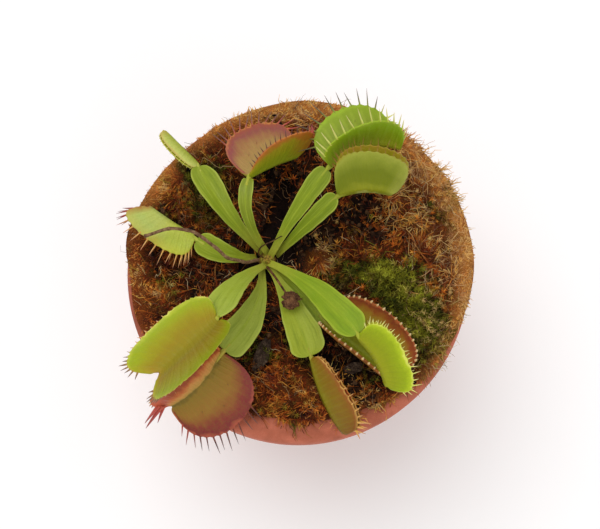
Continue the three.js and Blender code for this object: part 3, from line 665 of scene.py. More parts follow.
def makeTrap(plan, seed):
    place, d = trapFrame(plan), leafDetail
    turns = np.linspace(d["firstTurn"], d["lastTurn"], d["trapTurns"])[:, None]
    s = np.linspace(-1, 1, d["trapAcross"])
    w = (np.sign(s) * (1 - (1 - np.abs(s)) ** 1.35))[None, :]
    w = np.where(np.abs(w) < 1e-6, 1e-6, w)
    first, second = spineTurns(plan)[:2]
    phase = (turns - first) / (second - first)
    edge = np.clip((np.abs(w) - d["cuspFrom"]) / 0.12, 0, 1)
    cusps = plan.get("cusp", d["cusp"]) * edge * (np.cos(phase * 2 * math.pi) ** 3)  # one under each spine
    wave = plan.get("wave", d["wave"]) * np.abs(w) ** 2 * np.sin(np.radians(turns))
    wave = wave * ripple(turns * 0.11, w * 2, 0, seed + 3)
    inner = lobePoint(plan, place, turns, w, cusps)
    normal = outwardNormal(plan, place, turns, w)
    inner = inner + normal * wave[..., None]
    thick = d["lobe"] + (d["lobeEdge"] - d["lobe"]) * np.abs(w) ** 6
    thick = thick + d["ribSwell"] * np.exp(-(w / d["hingeWidth"]) ** 2) * np.sin(np.radians(turns)) ** 0.5
    outer = inner + normal * thick[..., None]
    verts, faces = closedPlate(inner, outer)
    course = np.broadcast_to(((1 - np.cos(np.radians(turns))) / 2), inner.shape[:2]).ravel()
    span = np.broadcast_to(w, inner.shape[:2]).ravel()
    n = len(course)
    return verts, faces, dict(course=np.tile(course, 2), span=np.tile(span, 2),
                              inside=np.r_[np.ones(n), np.zeros(n)], part=np.ones(2 * n))


def makeNeck(plan):  # the thin round link from the wings' end into the trap's hinge
    place, trap, d = trapFrame(plan), plan["trap"], neckShape
    start = place["end"] - place["endDir"] * d["sunk"]
    ribStart = place["base"] + place["ribDir"] * d["ribFrom"]
    ribIn = place["base"] + place["ribDir"] * trap["length"] * d["ribShare"]
    ribIn = ribIn + place["mouth"] * (trap["bow"] * 0.8 - 0.35)
    path = smoothPath([start, place["end"], (place["base"] + ribStart) / 2, ribIn], d["steps"])
    radii = np.interp(np.linspace(0, 1, d["steps"]), d["courses"], d["radii"])
    verts, faces = tube(path, radii)
    n = len(verts)
    return verts, faces, dict(course=np.full(n, 0.02), span=np.full(n, 0.5), inside=np.zeros(n),
                              part=np.full(n, 0.35))


def makeSpineRoots(plan, seed):  # loose points on the margins, which the spine tree grows from
    place = trapFrame(plan)
    pick = random.Random(seed)
    sweeps, lengths = plan.get("sweep", (0, 0)), plan.get("lobeReach", (1, 1))
    thicks, leans = plan.get("lobeThick", (1, 1)), plan.get("lean", (20, 20))
    ends, starts = plan.get("ends", (1, 1)), plan.get("lobeFirst", (0, 0))
    tuft, stray, fan = plan.get("tuft", 1), plan.get("stray", 0.13), plan.get("fan", 0.75)
    rows = []
    for which, sign in enumerate((-1, 1)):
        for turn in spineTurns(plan):
            if turn < starts[which]:
                continue
            tip = lobePoint(plan, place, turn, sign)
            low = lobePoint(plan, place, turn, sign * 0.9)
            normal = outwardNormal(plan, place, turn, sign * 0.95)
            margin = unit(lobePoint(plan, place, turn + 2, sign) - lobePoint(plan, place, turn - 2, sign))
            outward = np.cross(margin, normal)
            outward = outward * np.sign(np.dot(outward, tip - low))
            lean = math.radians(leans[which] + pick.uniform(-spineRoot["jitter"], spineRoot["jitter"]))
            u = (1 - math.cos(math.radians(turn))) / 2
            atTip = 1 + (tuft - 1) * float(smooth((u - 0.8) * 8))
            flat = unit(unit(outward) * fan + unit(tip - low) * (1 - fan) + place["ribDir"] * sweeps[which])
            sideways = margin * pick.uniform(-stray, stray)
            aim = unit(flat * math.cos(lean) + place["mouth"] * math.sin(lean) + sideways)
            root = tip + normal * spineRoot["lift"] - aim * spineRoot["sunk"]
            length = plan["reach"] * (0.55 + 0.45 * math.sin(math.radians(turn)))
            length = length * pick.uniform(1 - 1.6 * stray, 1.08) * lengths[which]
            length = length * (ends[0] * (1 - u) + ends[1] * u) * atTip
            thick = plan["thick"] * pick.uniform(0.88, 1.12) * thicks[which] * atTip ** 0.5
            rows.append(dict(at=root, aim=aim, reach=(length + spineRoot["sunk"]) * mm, span=sign, course=u,
                             thick=thick * mm))
        for turn, length, thick, toward in plan.get("tendrils", ()) if sign > 0 else ():
            aim = unit(np.array(toward, float))
            root = lobePoint(plan, place, turn, 0.97) - aim * spineRoot["tendrilSunk"]
            rows.append(dict(at=root, aim=aim, reach=length * mm, span=1, thick=thick * mm, course=1.0))
        for turn, v in triggerHair["places"]:  # the three trigger hairs of each lobe
            aim = unit(-outwardNormal(plan, place, turn, sign * v) + place["mouth"] * 0.35)
            root = lobePoint(plan, place, turn, sign * v) - aim * triggerHair["sunk"]
            rows.append(dict(at=root, aim=aim, reach=triggerHair["reach"] * mm, span=sign,
                             thick=triggerHair["thick"] * mm, course=0.5))
    return rows


class Grower(Nodes):  # a geometry tree with named inputs
    def __init__(self, name):
        super().__init__(bpy.data.node_groups.new(name, "GeometryNodeTree"))
        self.tree.interface.new_socket("Geometry", in_out="INPUT", socket_type="NodeSocketGeometry")
        self.tree.interface.new_socket("Geometry", in_out="OUTPUT", socket_type="NodeSocketGeometry")
        self.given = self.tree.nodes.new("NodeGroupInput")
        self.out = self.tree.nodes.new("NodeGroupOutput")
        self.link = self.tree.links.new

    def ask(self, label, kind, default=None):
        socket = self.tree.interface.new_socket(label, in_out="INPUT", socket_type=kind)
        if default is not None:
            socket.default_value = default
        return self.given.outputs[label]

    def vector(self, operation, a, b):
        return self.node("ShaderNodeVectorMath", {0: a, 1: b}, operation=operation).outputs[0]

    def scaled(self, a, by):
        return self.node("ShaderNodeVectorMath", {0: a, "Scale": by}, operation="SCALE").outputs[0]

    def named(self, name, kind="FLOAT"):
        return self.node("GeometryNodeInputNamedAttribute", {"Name": name},
                         data_type=kind).outputs["Attribute"]

    def store(self, geometry, name, value):
        return self.node("GeometryNodeStoreNamedAttribute",
                         {"Geometry": geometry, "Name": name, "Value": value},
                         data_type="FLOAT", domain="POINT").outputs[0]

    def randomFloat(self, low, high, seed):
        made = self.node("FunctionNodeRandomValue", data_type="FLOAT")
        for key, value in (("Min", low), ("Max", high), ("Seed", seed)):
            self.give(next(x for x in made.inputs if x.name == key and x.enabled), value)
        return next(x for x in made.outputs if x.enabled)

    def scatter(self, seed):
        return self.node("GeometryNodeDistributePointsOnFaces",
                         {"Mesh": self.given.outputs["Geometry"], "Seed": seed}, distribute_method="RANDOM")

    def tinted(self, points, seed):  # gives every point a shade of its own
        return self.store(points, "tint", self.randomFloat(0.0, 1.0, self.plus(seed, 3.0)))

    def place(self, points, instance, turn, **more):
        inputs = {"Points": points, "Instance": instance, "Rotation": turn, **more}
        placed = self.node("GeometryNodeInstanceOnPoints", inputs).outputs[0]
        return self.node("GeometryNodeRealizeInstances", {"Geometry": placed}).outputs[0]

    def dressed(self, geometry, finish):
        return self.node("GeometryNodeSetMaterial", {"Geometry": geometry, "Material": finish}).outputs[0]


def grow(obj, grower, values):  # runs the tree on the object and keeps the result as a plain mesh
    modifier = obj.modifiers.new("grow", "NODES")
    modifier.node_group = grower.tree
    for item in grower.tree.interface.items_tree:
        if item.item_type == "SOCKET" and item.in_out == "INPUT" and item.name in values:
            modifier[item.identifier] = values[item.name]
    obj.update_tag()
    bpy.context.view_layer.update()
    evaluated = obj.evaluated_get(bpy.context.evaluated_depsgraph_get())
    mesh = bpy.data.meshes.new_from_object(evaluated)
    old = obj.data
    obj.modifiers.remove(modifier)
    obj.data = mesh
    bpy.data.meshes.remove(old)
    return obj


def makeSpineTree():  # each loose root point gets one tapered, slightly curved spine
    g = Grower("spines")
    sides = g.ask("Sides", "NodeSocketInt", 6)
    bow = g.ask("Bow", "NodeSocketFloat", 0.1)
    finish = g.ask("Spine Finish", "NodeSocketMaterial")
    reach = g.named("reach")
    isRoot = g.node("FunctionNodeCompare", {0: reach, 1: 0.0}, data_type="FLOAT",
                    operation="GREATER_THAN").outputs[0]
    parts = g.node("GeometryNodeSeparateGeometry",
                   {"Geometry": g.given.outputs["Geometry"], "Selection": isRoot}, domain="POINT").outputs
    arc = g.node("GeometryNodeCurveQuadraticBezier",
                 {"Resolution": 7, "Start": (0, 0, 0), "Middle": (0, 0, 0.5)})
    g.link(g.node("ShaderNodeCombineXYZ", {0: bow, 1: 0.0, 2: 1.0}).outputs[0], arc.inputs["End"])
    along = g.node("GeometryNodeSplineParameter").outputs["Factor"]
    marked = g.store(arc.outputs[0], "along", along)
    taper = g.math("POWER", g.math("SUBTRACT", 1.0, g.times(along, 0.97)), 0.75)
    ring = g.node("GeometryNodeCurvePrimitiveCircle", {"Resolution": sides, "Radius": 1.0}).outputs[0]
    spine = g.node("GeometryNodeCurveToMesh", {"Curve": marked, "Profile Curve": ring, "Scale": taper,
                                               "Fill Caps": True})
    aim = g.node("FunctionNodeAlignRotationToVector", {"Vector": g.named("aim", "FLOAT_VECTOR")},
                 axis="Z").outputs[0]
    wide = g.named("thick")
    size = g.node("ShaderNodeCombineXYZ", {0: wide, 1: wide, 2: reach}).outputs[0]
    real = g.place(parts["Selection"], spine.outputs[0], aim, Scale=size)
    smoothed = g.node("GeometryNodeSetShadeSmooth", {"Geometry": real}).outputs[0]
    spines = g.dressed(smoothed, finish)
    joined = g.node("GeometryNodeJoinGeometry")
    g.link(spines, joined.inputs[0])
    g.link(parts["Inverted"], joined.inputs[0])
    g.link(joined.outputs[0], g.out.inputs[0])
    return g


spineTree = makeSpineTree()


def makeLeaf(name, plan, seed):
    look = looks[name]
    pieces = [makeStalk(plan, seed), makeTrap(plan, seed), makeNeck(plan)]
    roots = makeSpineRoots(plan, seed)
    verts, faces, offset = [], [], 0
    for v, f, marks in pieces:
        verts.append(v)
        faces += [tuple(i + offset for i in face) for face in f]
        offset += len(v)
    attributes = {k: np.r_[np.concatenate([m[k] for _, _, m in pieces]), [r.get(k, 0) for r in roots]]
                  for k in ("course", "span", "inside", "part")}
    attributes.update({k: np.r_[np.zeros(offset), [r[k] for r in roots]] for k in ("reach", "thick")})
    attributes["aim"] = np.vstack([np.zeros((offset, 3)), [r["aim"] for r in roots]])
    points = np.vstack([*verts, [r["at"] for r in roots]]) + crownAt
    leaf = newObject(name + "_detail", points, faces,
                     tissueMaterial(name + "_tissue", look, seed), attributes)
    near = look["spine"]
    spines = spineMaterial(name + "_spines", near, look.get("spineFar", near), look.get("spineEnd", near),
                           look.get("endFrom", 0.8))
    grow(leaf, spineTree, {"Sides": 6, "Bow": plan.get("spineBow", 0.14), "Spine Finish": spines})
    for key in ("aim", "reach", "thick"):
        leaf.data.attributes.remove(leaf.data.attributes[key])
    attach(leaf, "root")
    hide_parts(name)
    return leaf


for number, (leafName, leafValues) in enumerate(leafPlan.items(), start=1):
    made = makeLeaf(leafName, leafValues, number * 1.7)
    print("leaf", leafName, len(made.data.polygons), "faces")


clayPot = dict(height=96, rimRadius=55, mouthRadius=47, collarHeight=22, collarStep=5,
               footRadius=35, floor=6, wall=6, drainRadius=5, turns=168, edge=3.0, lip=1.5, uneven=0.12)
collarBottom = clayPot["height"] - clayPot["collarHeight"]


def outerWall(z):
    foot = clayPot["footRadius"]
    return foot + (clayPot["rimRadius"] - clayPot["collarStep"] - foot) * z / collarBottom


def innerWall(z):
    low = outerWall(collarBottom) - clayPot["wall"]
    return np.where(z < collarBottom, outerWall(z) - clayPot["wall"],
                    low + (clayPot["mouthRadius"] - low) * (z - collarBottom) / clayPot["collarHeight"])


def spinProfile(profile, turns, uneven):  # turns an outline of (radius, height) into a closed skin
    profile = np.asarray(profile, float)
    a = np.arange(turns) / turns * 2 * math.pi
    r = profile[None, :, 0] + uneven * ripple(a[:, None] * 2, profile[None, :, 1] * 0.05, 0, 2)
    z = np.broadcast_to(profile[None, :, 1], r.shape)
    verts = np.stack([np.cos(a)[:, None] * r, np.sin(a)[:, None] * r, z], -1).reshape(-1, 3)
    n = len(profile)
    faces = []
    for i in range(turns):
        j = (i + 1) % turns
        for k in range(n):
            after = (k + 1) % n
            faces.append((i * n + k, j * n + k, j * n + after, i * n + after))
    return verts, faces


def clayMaterial():
    material, s, surface = newMaterial("terracotta")
    place = s.inMillimetres()
    axes = s.node("ShaderNodeSeparateXYZ", {0: place}).outputs
    height = axes[2]
    spots = s.group(mottle, Patch_Size=11.0, Speck_Size=0.7, Seed=4.0)
    small = s.group(mottle, Patch_Size=2.6, Speck_Size=0.3, Seed=9.0)
    colour = s.mix(spots["Patches"], linear(176, 87, 62), linear(195, 110, 85))
    colour = s.mix(s.times(small["Patches"], 0.35), colour, linear(160, 78, 52))
    colour = s.mix(s.times(small["Specks"], 0.22), colour, linear(214, 140, 112))
    damp = s.times(s.range(height, 70, 95), s.range(spots["Patches"], 0.75, 0.1), clamp=True)
    colour = s.mix(s.times(damp, 0.35), colour, linear(122, 70, 44))
    # the clay is darker towards the left, most of all high up
    leftDarkening = s.times(s.range(axes[0], -36, -56), s.range(small["Patches"], 0, 1, 0.55, 1.0))
    colour = s.mix(s.times(leftDarkening, s.range(height, 60, 90, 0, 0.6)), colour, linear(112, 46, 28))
    middle = s.node("ShaderNodeCombineXYZ", {0: axes[0], 1: axes[1], 2: 0.0}).outputs[0]
    radius = s.node("ShaderNodeVectorMath", {0: middle}, operation="LENGTH").outputs["Value"]
    soiled = s.times(s.range(radius, 53.0, 47.6), s.range(small["Patches"], 0.3, 0.75, 0.15, 1.0))
    colour = s.mix(s.times(soiled, s.range(height, 88, 94, 0, 0.4)), colour, linear(116, 64, 40))
    bloom = s.times(s.range(s.noise(place, 0.07, 7, 0.7, 0.15), 0.5, 0.72), s.range(height, 90, 20))
    colour = s.mix(s.times(bloom, 0.42), colour, linear(216, 186, 168))
    grain = s.group(roughGrain, Grain_Size=0.35, Lump_Size=3.5, Strength=0.22)
    s.finish(surface, {"Base Color": colour, "Normal": grain["Normal"], "Specular IOR Level": 0.3,
                       "Roughness": s.range(spots["Patches"], 0, 1, 0.72, 0.9)})
    return material


def arcPoints(cx, cz, radius, first, last, count):
    angles = [math.radians(t) for t in np.linspace(first, last, count)]
    return [(cx + radius * math.cos(a), cz + radius * math.sin(a)) for a in angles]


def makePot():
    p = clayPot
    foot, rim, top, edge, lip = p["footRadius"], p["rimRadius"], p["height"], p["edge"], p["lip"]
    profile = [(p["drainRadius"], 0.0), (20, 0.0), (foot - 1, 0), (foot - 0.3, 0.3), (foot, 1)]
    profile += [(float(outerWall(z)), z) for z in np.linspace(4, collarBottom - 0.4, 14)]
    profile += [(rim - 2.0, collarBottom), (rim - 1.0, collarBottom + 0.5), (rim - 0.5, collarBottom + 1.6)]
    profile += [(rim - 0.35, z) for z in np.linspace(collarBottom + 5, top - edge - 4, 4)]
    profile += arcPoints(rim - edge, top - edge, edge, 0, 90, 9)
    profile += arcPoints(p["mouthRadius"] + lip, top - lip, lip, 90, 180, 6)
    profile += [(float(innerWall(z)), z) for z in np.linspace(top - 8, p["floor"], 12)]
    profile += [(p["drainRadius"], p["floor"])]
    verts, faces = spinProfile(profile, p["turns"], p["uneven"])
    pot = newObject("pot_fired_clay", verts, faces, clayMaterial())
    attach(pot, "root")
    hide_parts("pot")
    print("pot", len(faces), "faces")


makePot()


bed = dict(soilTop=92, gap=0.35, inner=94.2, outer=97.2, bump=0.7, onRim=1.1, creepLeast=0.9,
           creepMost=10.3, clearing=9.5, greenFrom=-40, greenTo=8, lump=0.45, clump=0.7, sink=1.2,
           grain=0.35, edgeReach=56.2, edgeFade=9.5, step=1.5, across=34, lapSteps=7)


def blob(x, y, cx, cy, rx, ry, turn=0.0):
    c, s = math.cos(math.radians(turn)), math.sin(math.radians(turn))
    u, v = ((x - cx) * c + (y - cy) * s) / rx, (-(x - cx) * s + (y - cy) * c) / ry
    return np.exp(-(u * u + v * v))


def patchSum(x, y, patches):
    return sum(share * blob(x, y, *place) for share, *place in patches)


def mossHeight(x, y):
    r = np.minimum(np.hypot(x, y) / clayPot["mouthRadius"], 1)
    turn = np.arctan2(y - crownAt[1], x - crownAt[0])
    hollow = 1.6 * np.exp(-((turn + math.radians(50)) / 0.3) ** 2) * (1 - r ** 6)
    bumps = np.sin(x * 0.55 + 1.3 * np.sin(y * 0.21)) * np.cos(y * 0.5 + np.sin(x * 0.3))
    return bed["inner"] + (bed["outer"] - bed["inner"]) * smooth(r) + bed["bump"] * bumps - hollow


# what grows where, seen from above: each patch is its share, x, y, two radii and, if it is turned, degrees
barePatches = [(1.1, 17, -29, 15, 8, -38), (0.9, -12, -17, 5.5, 13, -14), (1.5, -5, 24, 9, 15, 8),
               (0.65, 6, 12, 9, 5), (0.9, -24, 6, 8, 5, 40), (1.1, 7, -8, 7, 6), (0.6, -40, 13, 5, 4),
               (0.6, -30, -3, 7, 5), (0.65, 20, 20, 12, 7, 10), (0.5, 36, 2, 4, 3), (0.5, 26, 10, 4, 3),
               (0.5, -28, 23, 6, 9), (0.5, 1, -24, 6, 9), (0.35, 24, 16, 9, 4), (0.8, -2, 4, 4, 6)]
litPatches = [(1.0, -42, -7, 7, 4), (0.65, -50, 2, 4, 20), (0.45, -3, -39, 10, 5), (0.5, -42, 28, 7, 10),
              (1.15, 8, 6, 8, 6), (1.0, 52, 2, 7, 28), (1.0, -6, 52, 26, 7), (0.9, 38, 32, 12, 12),
              (0.5, 40, 13, 8, 8), (0.6, 28, -44, 12, 5), (0.6, 14, -38, 8, 5), (0.3, 30, 14, 10, 8)]
dimPatches = [(0.4, 22, 16, 12, 9), (0.3, 0, -24, 8, 8), (0.35, -48, 8, 9, 16), (0.6, -35, -2, 10, 9),
              (0.3, 40, -2, 7, 5), (0.3, -28, 26, 9, 10)]
strawPatches = [(0.9, 50, 0, 8, 24), (1.5, 38, 32, 12, 13), (0.6, 2, 52, 22, 5), (0.5, 40, -20, 7, 8)]
greenPatches = [(1, 26, -1, 13, 5), (0.35, 14, 0, 6, 4), (1, 34, -12, 12, 9), (0.9, 41, -22, 9, 9),
                (0.6, -14, -27, 8, 6), (0.75, -29, 22, 6, 9), (0.7, 1, -23, 6, 8), (0.3, 25, 16, 8, 4),
                (0.7, -33, 31, 8, 7), (0.5, -41, 16, 5, 6), (0.45, -40, -4, 8, 5), (0.6, 24, -33, 8, 5),
                (0.35, 44, 20, 8, 8), (0.3, 50, 24, 5, 16), (0.35, -5, -44, 12, 4)]
brightPatches = [(1, 28, -1, 8, 3), (0.7, 36, -8, 6, 4), (0.5, 34, -17, 5, 4), (0.45, 41, -21, 8, 7)]


def growthAt(x, y):  # how thickly moss stands
    return np.clip(1.0 - patchSum(x, y, barePatches) + 0.34 * ripple(x * 0.42, y * 0.42, 0, 5), 0.03, 1)


def warmthAt(x, y):  # 0 dark brown, 1 bright orange and ochre
    warm = patchSum(x, y, litPatches) - patchSum(x, y, dimPatches) + 0.24
    return np.clip(warm + 0.34 * ripple(x * 0.5, y * 0.5, 0, 9), 0, 1)


def strawAt(x, y):  # pale dry tips
    return np.clip(patchSum(x, y, strawPatches) + 0.12 + 0.24 * ripple(x * 0.5, y * 0.5, 0, 2), 0, 1)


def greenAt(x, y):
    return np.clip(patchSum(x, y, greenPatches) + 0.4 * ripple(x * 0.8, y * 0.8, 0, 7) - 0.06, 0, 1)


def brightAt(x, y):  # the freshest yellow-green cushions
    return np.clip(patchSum(x, y, brightPatches), 0, 1)


# room is what a strand may reach before it hangs over the rim, which it does most at the far right
def mossMarks(points):
    x, y = points[:, 0], points[:, 1]
    radius, turn = np.hypot(x, y), np.degrees(np.arctan2(y, x))
    over = 4.4 * np.exp(-((turn - 40) / 20) ** 2) + 0.9 * np.exp(-((turn - 95) / 30) ** 2)
    lush = np.exp(-((turn - 35) / 46) ** 2) * np.clip((radius - 36) / 9, 0, 1)
    reach, fade = bed["edgeReach"], bed["edgeFade"]
    return dict(growth=np.clip(growthAt(x, y) + 0.6 * lush, 0.03, 1.6), warmth=warmthAt(x, y),
                straw=strawAt(x, y), verdure=greenAt(x, y), bright=brightAt(x, y),
                room=np.clip((reach + np.minimum(x, 0) / 28 + over - radius) / fade, 0.1, 1),
                edge=np.clip((reach - radius) / fade, 0.1, 1),
                # sunny weights the rim's painted light, which falls off at the left
                sunny=np.clip(np.maximum((x + 44) / 50, (y - 6) / 20), 0, 1))


def groundMaterial(name, dark, light, covered):  # bare earth, tinted by what grows on it
    material, s, surface = newMaterial(name)
    spots = s.group(mottle, Patch_Size=3.0, Speck_Size=0.45, Seed=1.0)
    grain = s.group(roughGrain, Grain_Size=0.5, Lump_Size=2.2, Strength=0.9)
    colour = s.mix(spots["Patches"], dark, light)
    colour = s.mix(s.times(spots["Specks"], 0.3), colour, linear(54, 36, 28))
    fibres = s.range(s.noise(s.inMillimetres(), 2.2, 4, 0.75, 3.0), 0.44, 0.6)
    growing = s.times(s.range(s.attribute("growth"), 0.35, 0.8), covered)
    moss = s.mix(fibres, linear(30, 16, 9), s.mix(s.attribute("warmth"), linear(92, 50, 20),
                                                  linear(150, 90, 32)))
    # near the rim the moss on the ground gets painted light: a lit copy where the sunny mask is high, a
    # shaded copy elsewhere
    sunny = s.attribute("sunny")
    edge = s.mix(sunny, s.mix(fibres, linear(84, 38, 18), linear(150, 78, 36)),
                 s.mix(fibres, linear(120, 66, 30), linear(204, 138, 66)))
    moss = s.mix(s.range(s.attribute("edge"), 0.75, 0.35), moss, edge)
    moss = s.mix(s.range(s.attribute("verdure"), 0.2, 0.7), moss,
                 s.mix(fibres, linear(34, 36, 8), linear(88, 94, 20)))
    colour = s.mix(growing, colour, moss)
    s.finish(surface, {"Base Color": colour, "Normal": grain["Normal"], "Specular IOR Level": 0.06,
                       "Roughness": s.range(spots["Patches"], 0, 1, 0.75, 0.95)})
    return material


def mossMaterial(name):  # every strand is darkened by painted shade towards its root and shows its own colour at the tip, which comes from where it grows
    material, s, surface = newMaterial(name)
    tint, along = s.attribute("tint"), s.attribute("along")
    spots = s.group(mottle, Patch_Size=3.4, Speck_Size=0.5, Seed=12.0)
    patch = s.times(s.math("SUBTRACT", spots["Patches"], 0.5), 0.62)
    clumps = s.group(mottle, Patch_Size=5.2, Speck_Size=0.9, Seed=31.0)["Patches"]
    warm = s.plus(s.times(s.attribute("warmth"), 0.74), s.times(tint, 0.34))
    warm = s.plus(warm, patch)
    brown = s.ramp(warm, stops((0.0, 82, 40, 20), (0.2, 144, 74, 28), (0.4, 202, 108, 38),
                               (0.6, 228, 142, 52), (0.82, 240, 188, 86), (1.0, 246, 216, 136)))
    light = s.plus(s.times(s.attribute("bright"), 0.6), s.times(tint, 0.4))
    fresh = s.ramp(s.plus(light, patch),
                   stops((0.0, 54, 58, 16), (0.3, 104, 106, 28), (0.65, 160, 158, 44), (1.0, 208, 212, 76)))
    brown = s.mix(s.range(clumps, 0.62, 0.95, 0, 0.7), brown,
                  s.mix(tint, linear(92, 66, 22), linear(168, 146, 56)))
    brown = s.mix(s.range(clumps, 0.34, 0.06, 0, 0.75), brown,
                  s.mix(tint, linear(72, 34, 30), linear(166, 80, 50)))
    leafy = s.range(s.plus(s.attribute("verdure"), s.times(tint, 0.3)), 0.4, 0.7)
    colour = s.mix(leafy, brown, fresh)
    dry = s.range(s.plus(s.times(s.attribute("straw"), 0.6), tint), 1.0, 1.25)
    colour = s.mix(s.times(dry, 0.85), colour, linear(226, 190, 128))
    # near the rim the strands take a painted light, strongest where the sunny mask is high
    paintedRimLight = s.times(s.range(s.attribute("edge"), 0.9, 0.3), s.range(s.attribute("sunny"), 0, 1, 0.35, 1))
    colour = s.mix(s.times(paintedRimLight, 0.45), colour, linear(230, 174, 96))
    # painted shade darkens each strand towards its root; near the rim there is less of it
    root = s.range(along, 0.0, 0.75, s.range(paintedRimLight, 0, 1, 0.13, 0.6), 1.0)
    deep = s.math("POWER", root, 1.5)
    shade = s.node("ShaderNodeCombineColor", {0: root, 1: deep, 2: deep}).outputs[0]
    colour = s.mix(1.0, colour, shade, "MULTIPLY")
    s.finish(surface, {"Base Color": colour, "Roughness": 0.8, "Specular IOR Level": 0.15})
    return material


mossFibre = mossMaterial("mossFibre")
bedGround = groundMaterial("bedGround", linear(16, 10, 8), linear(44, 29, 20), 1.0)
soilGround = groundMaterial("soilGround", linear(12, 8, 8), linear(32, 21, 18), 0.0)


def makeMossTree():  # strands spring from the bed, lean with their neighbours, and curl
    g = Grower("mossStrands")
    density = g.ask("Density", "NodeSocketFloat", 1e6)
    length = g.ask("Length", "NodeSocketFloat", 0.005)
    thick = g.ask("Thickness", "NodeSocketFloat", 0.00018)
    curl = g.ask("Curl", "NodeSocketFloat", 0.002)
    lift = g.ask("Lift", "NodeSocketFloat", 0.8)
    points = g.ask("Points", "NodeSocketInt", 6)
    seed = g.ask("Seed", "NodeSocketInt", 1)
    bare = g.ask("Bare Share", "NodeSocketFloat", 0.0)
    finish = g.ask("Strand Finish", "NodeSocketMaterial")
    scatter = g.scatter(seed)
    growth, room = g.named("growth"), g.named("room")
    g.link(g.times(g.math("MAXIMUM", growth, bare), density), scatter.inputs["Density"])
    spots = g.tinted(scatter.outputs["Points"], seed)
    place = g.node("GeometryNodeInputPosition").outputs[0]
    drift = g.node("ShaderNodeTexNoise", {"Vector": place, "Scale": 130.0, "Detail": 1.0}).outputs["Color"]
    drift = g.vector("SUBTRACT", drift, (0.5, 0.5, 0.5))
    own = g.node("FunctionNodeRandomValue", {"Min": (-1, -1, -0.15), "Max": (1, 1, 0.5)},
                 data_type="FLOAT_VECTOR")
    g.link(g.plus(seed, 11.0), own.inputs["Seed"])
    drift = g.vector("MULTIPLY", drift, (6.5, 6.5, 0.8))  # they lean together, but never into the ground
    heading = g.vector("ADD", drift, g.scaled(own.outputs[0], 0.9))
    heading = g.vector("ADD", heading, g.scaled(scatter.outputs["Normal"], lift))
    aim = g.node("FunctionNodeAlignRotationToVector", {"Vector": heading}, axis="Z").outputs[0]
    size = g.times(length, g.randomFloat(0.45, 1.25, g.plus(seed, 7.0)))
    vigour = g.plus(0.55, g.times(g.math("MINIMUM", growth, 1.1), 0.5))
    size = g.times(size, g.times(room, vigour))
    line = g.node("GeometryNodeCurvePrimitiveLine", {"Start": (0, 0, 0), "End": (0, 0, 1)}).outputs[0]
    line = g.node("GeometryNodeResampleCurve", {"Curve": line, "Count": points}).outputs[0]
    line = g.store(line, "along", g.node("GeometryNodeSplineParameter").outputs["Factor"])
    real = g.place(spots, line, aim, Scale=size)
    along = g.named("along")
    shift = g.node("ShaderNodeCombineXYZ", {0: g.times(g.named("tint"), 3.0), 1: 0.0, 2: 0.0}).outputs[0]
    curls = g.node("ShaderNodeTexNoise", {"Vector": g.vector("ADD", place, shift), "Scale": 340.0,
                                          "Detail": 1.0}).outputs["Color"]
    swing = g.times(g.times(g.times(along, curl), room), 4.0)
    offset = g.scaled(g.vector("SUBTRACT", curls, (0.5, 0.5, 0.52)), swing)
    real = g.node("GeometryNodeSetPosition", {"Geometry": real, "Offset": offset}).outputs[0]
    taper = g.math("SUBTRACT", 1.0, g.times(g.math("POWER", along, 2.0), 0.75))
    ring = g.node("GeometryNodeCurvePrimitiveCircle", {"Resolution": 3, "Radius": 1.0}).outputs[0]
    body = g.node("GeometryNodeCurveToMesh", {"Curve": real, "Profile Curve": ring, "Fill Caps": True,
                                              "Scale": g.times(taper, thick)}).outputs[0]
    body = g.node("GeometryNodeSetShadeSmooth", {"Geometry": body}).outputs[0]
    g.link(g.dressed(body, finish), g.out.inputs[0])
    return g


mossTree = makeMossTree()


def clearingAt(turn):  # the bare ring round the crown, with a gap towards the far side
    return bed["clearing"] + 22 * np.exp(-(((turn - 77) / 11) ** 2))


def creepAt(angle):  # how far the bed creeps over the rim
    lap = min(max(0.5 + 0.68 * math.cos(math.radians(angle - 45)), 0), 1)
    left = 0.78 * math.exp(-(((abs(angle) - 172) / 36) ** 2))
    ragged = 0.5 * math.sin(math.radians(angle * 7)) + 0.4 * math.sin(math.radians(angle * 13 + 40))
    share = min(lap + left, 1)
    return bed["creepLeast"] + (bed["creepMost"] - bed["creepLeast"]) * share + ragged * (1 - lap)


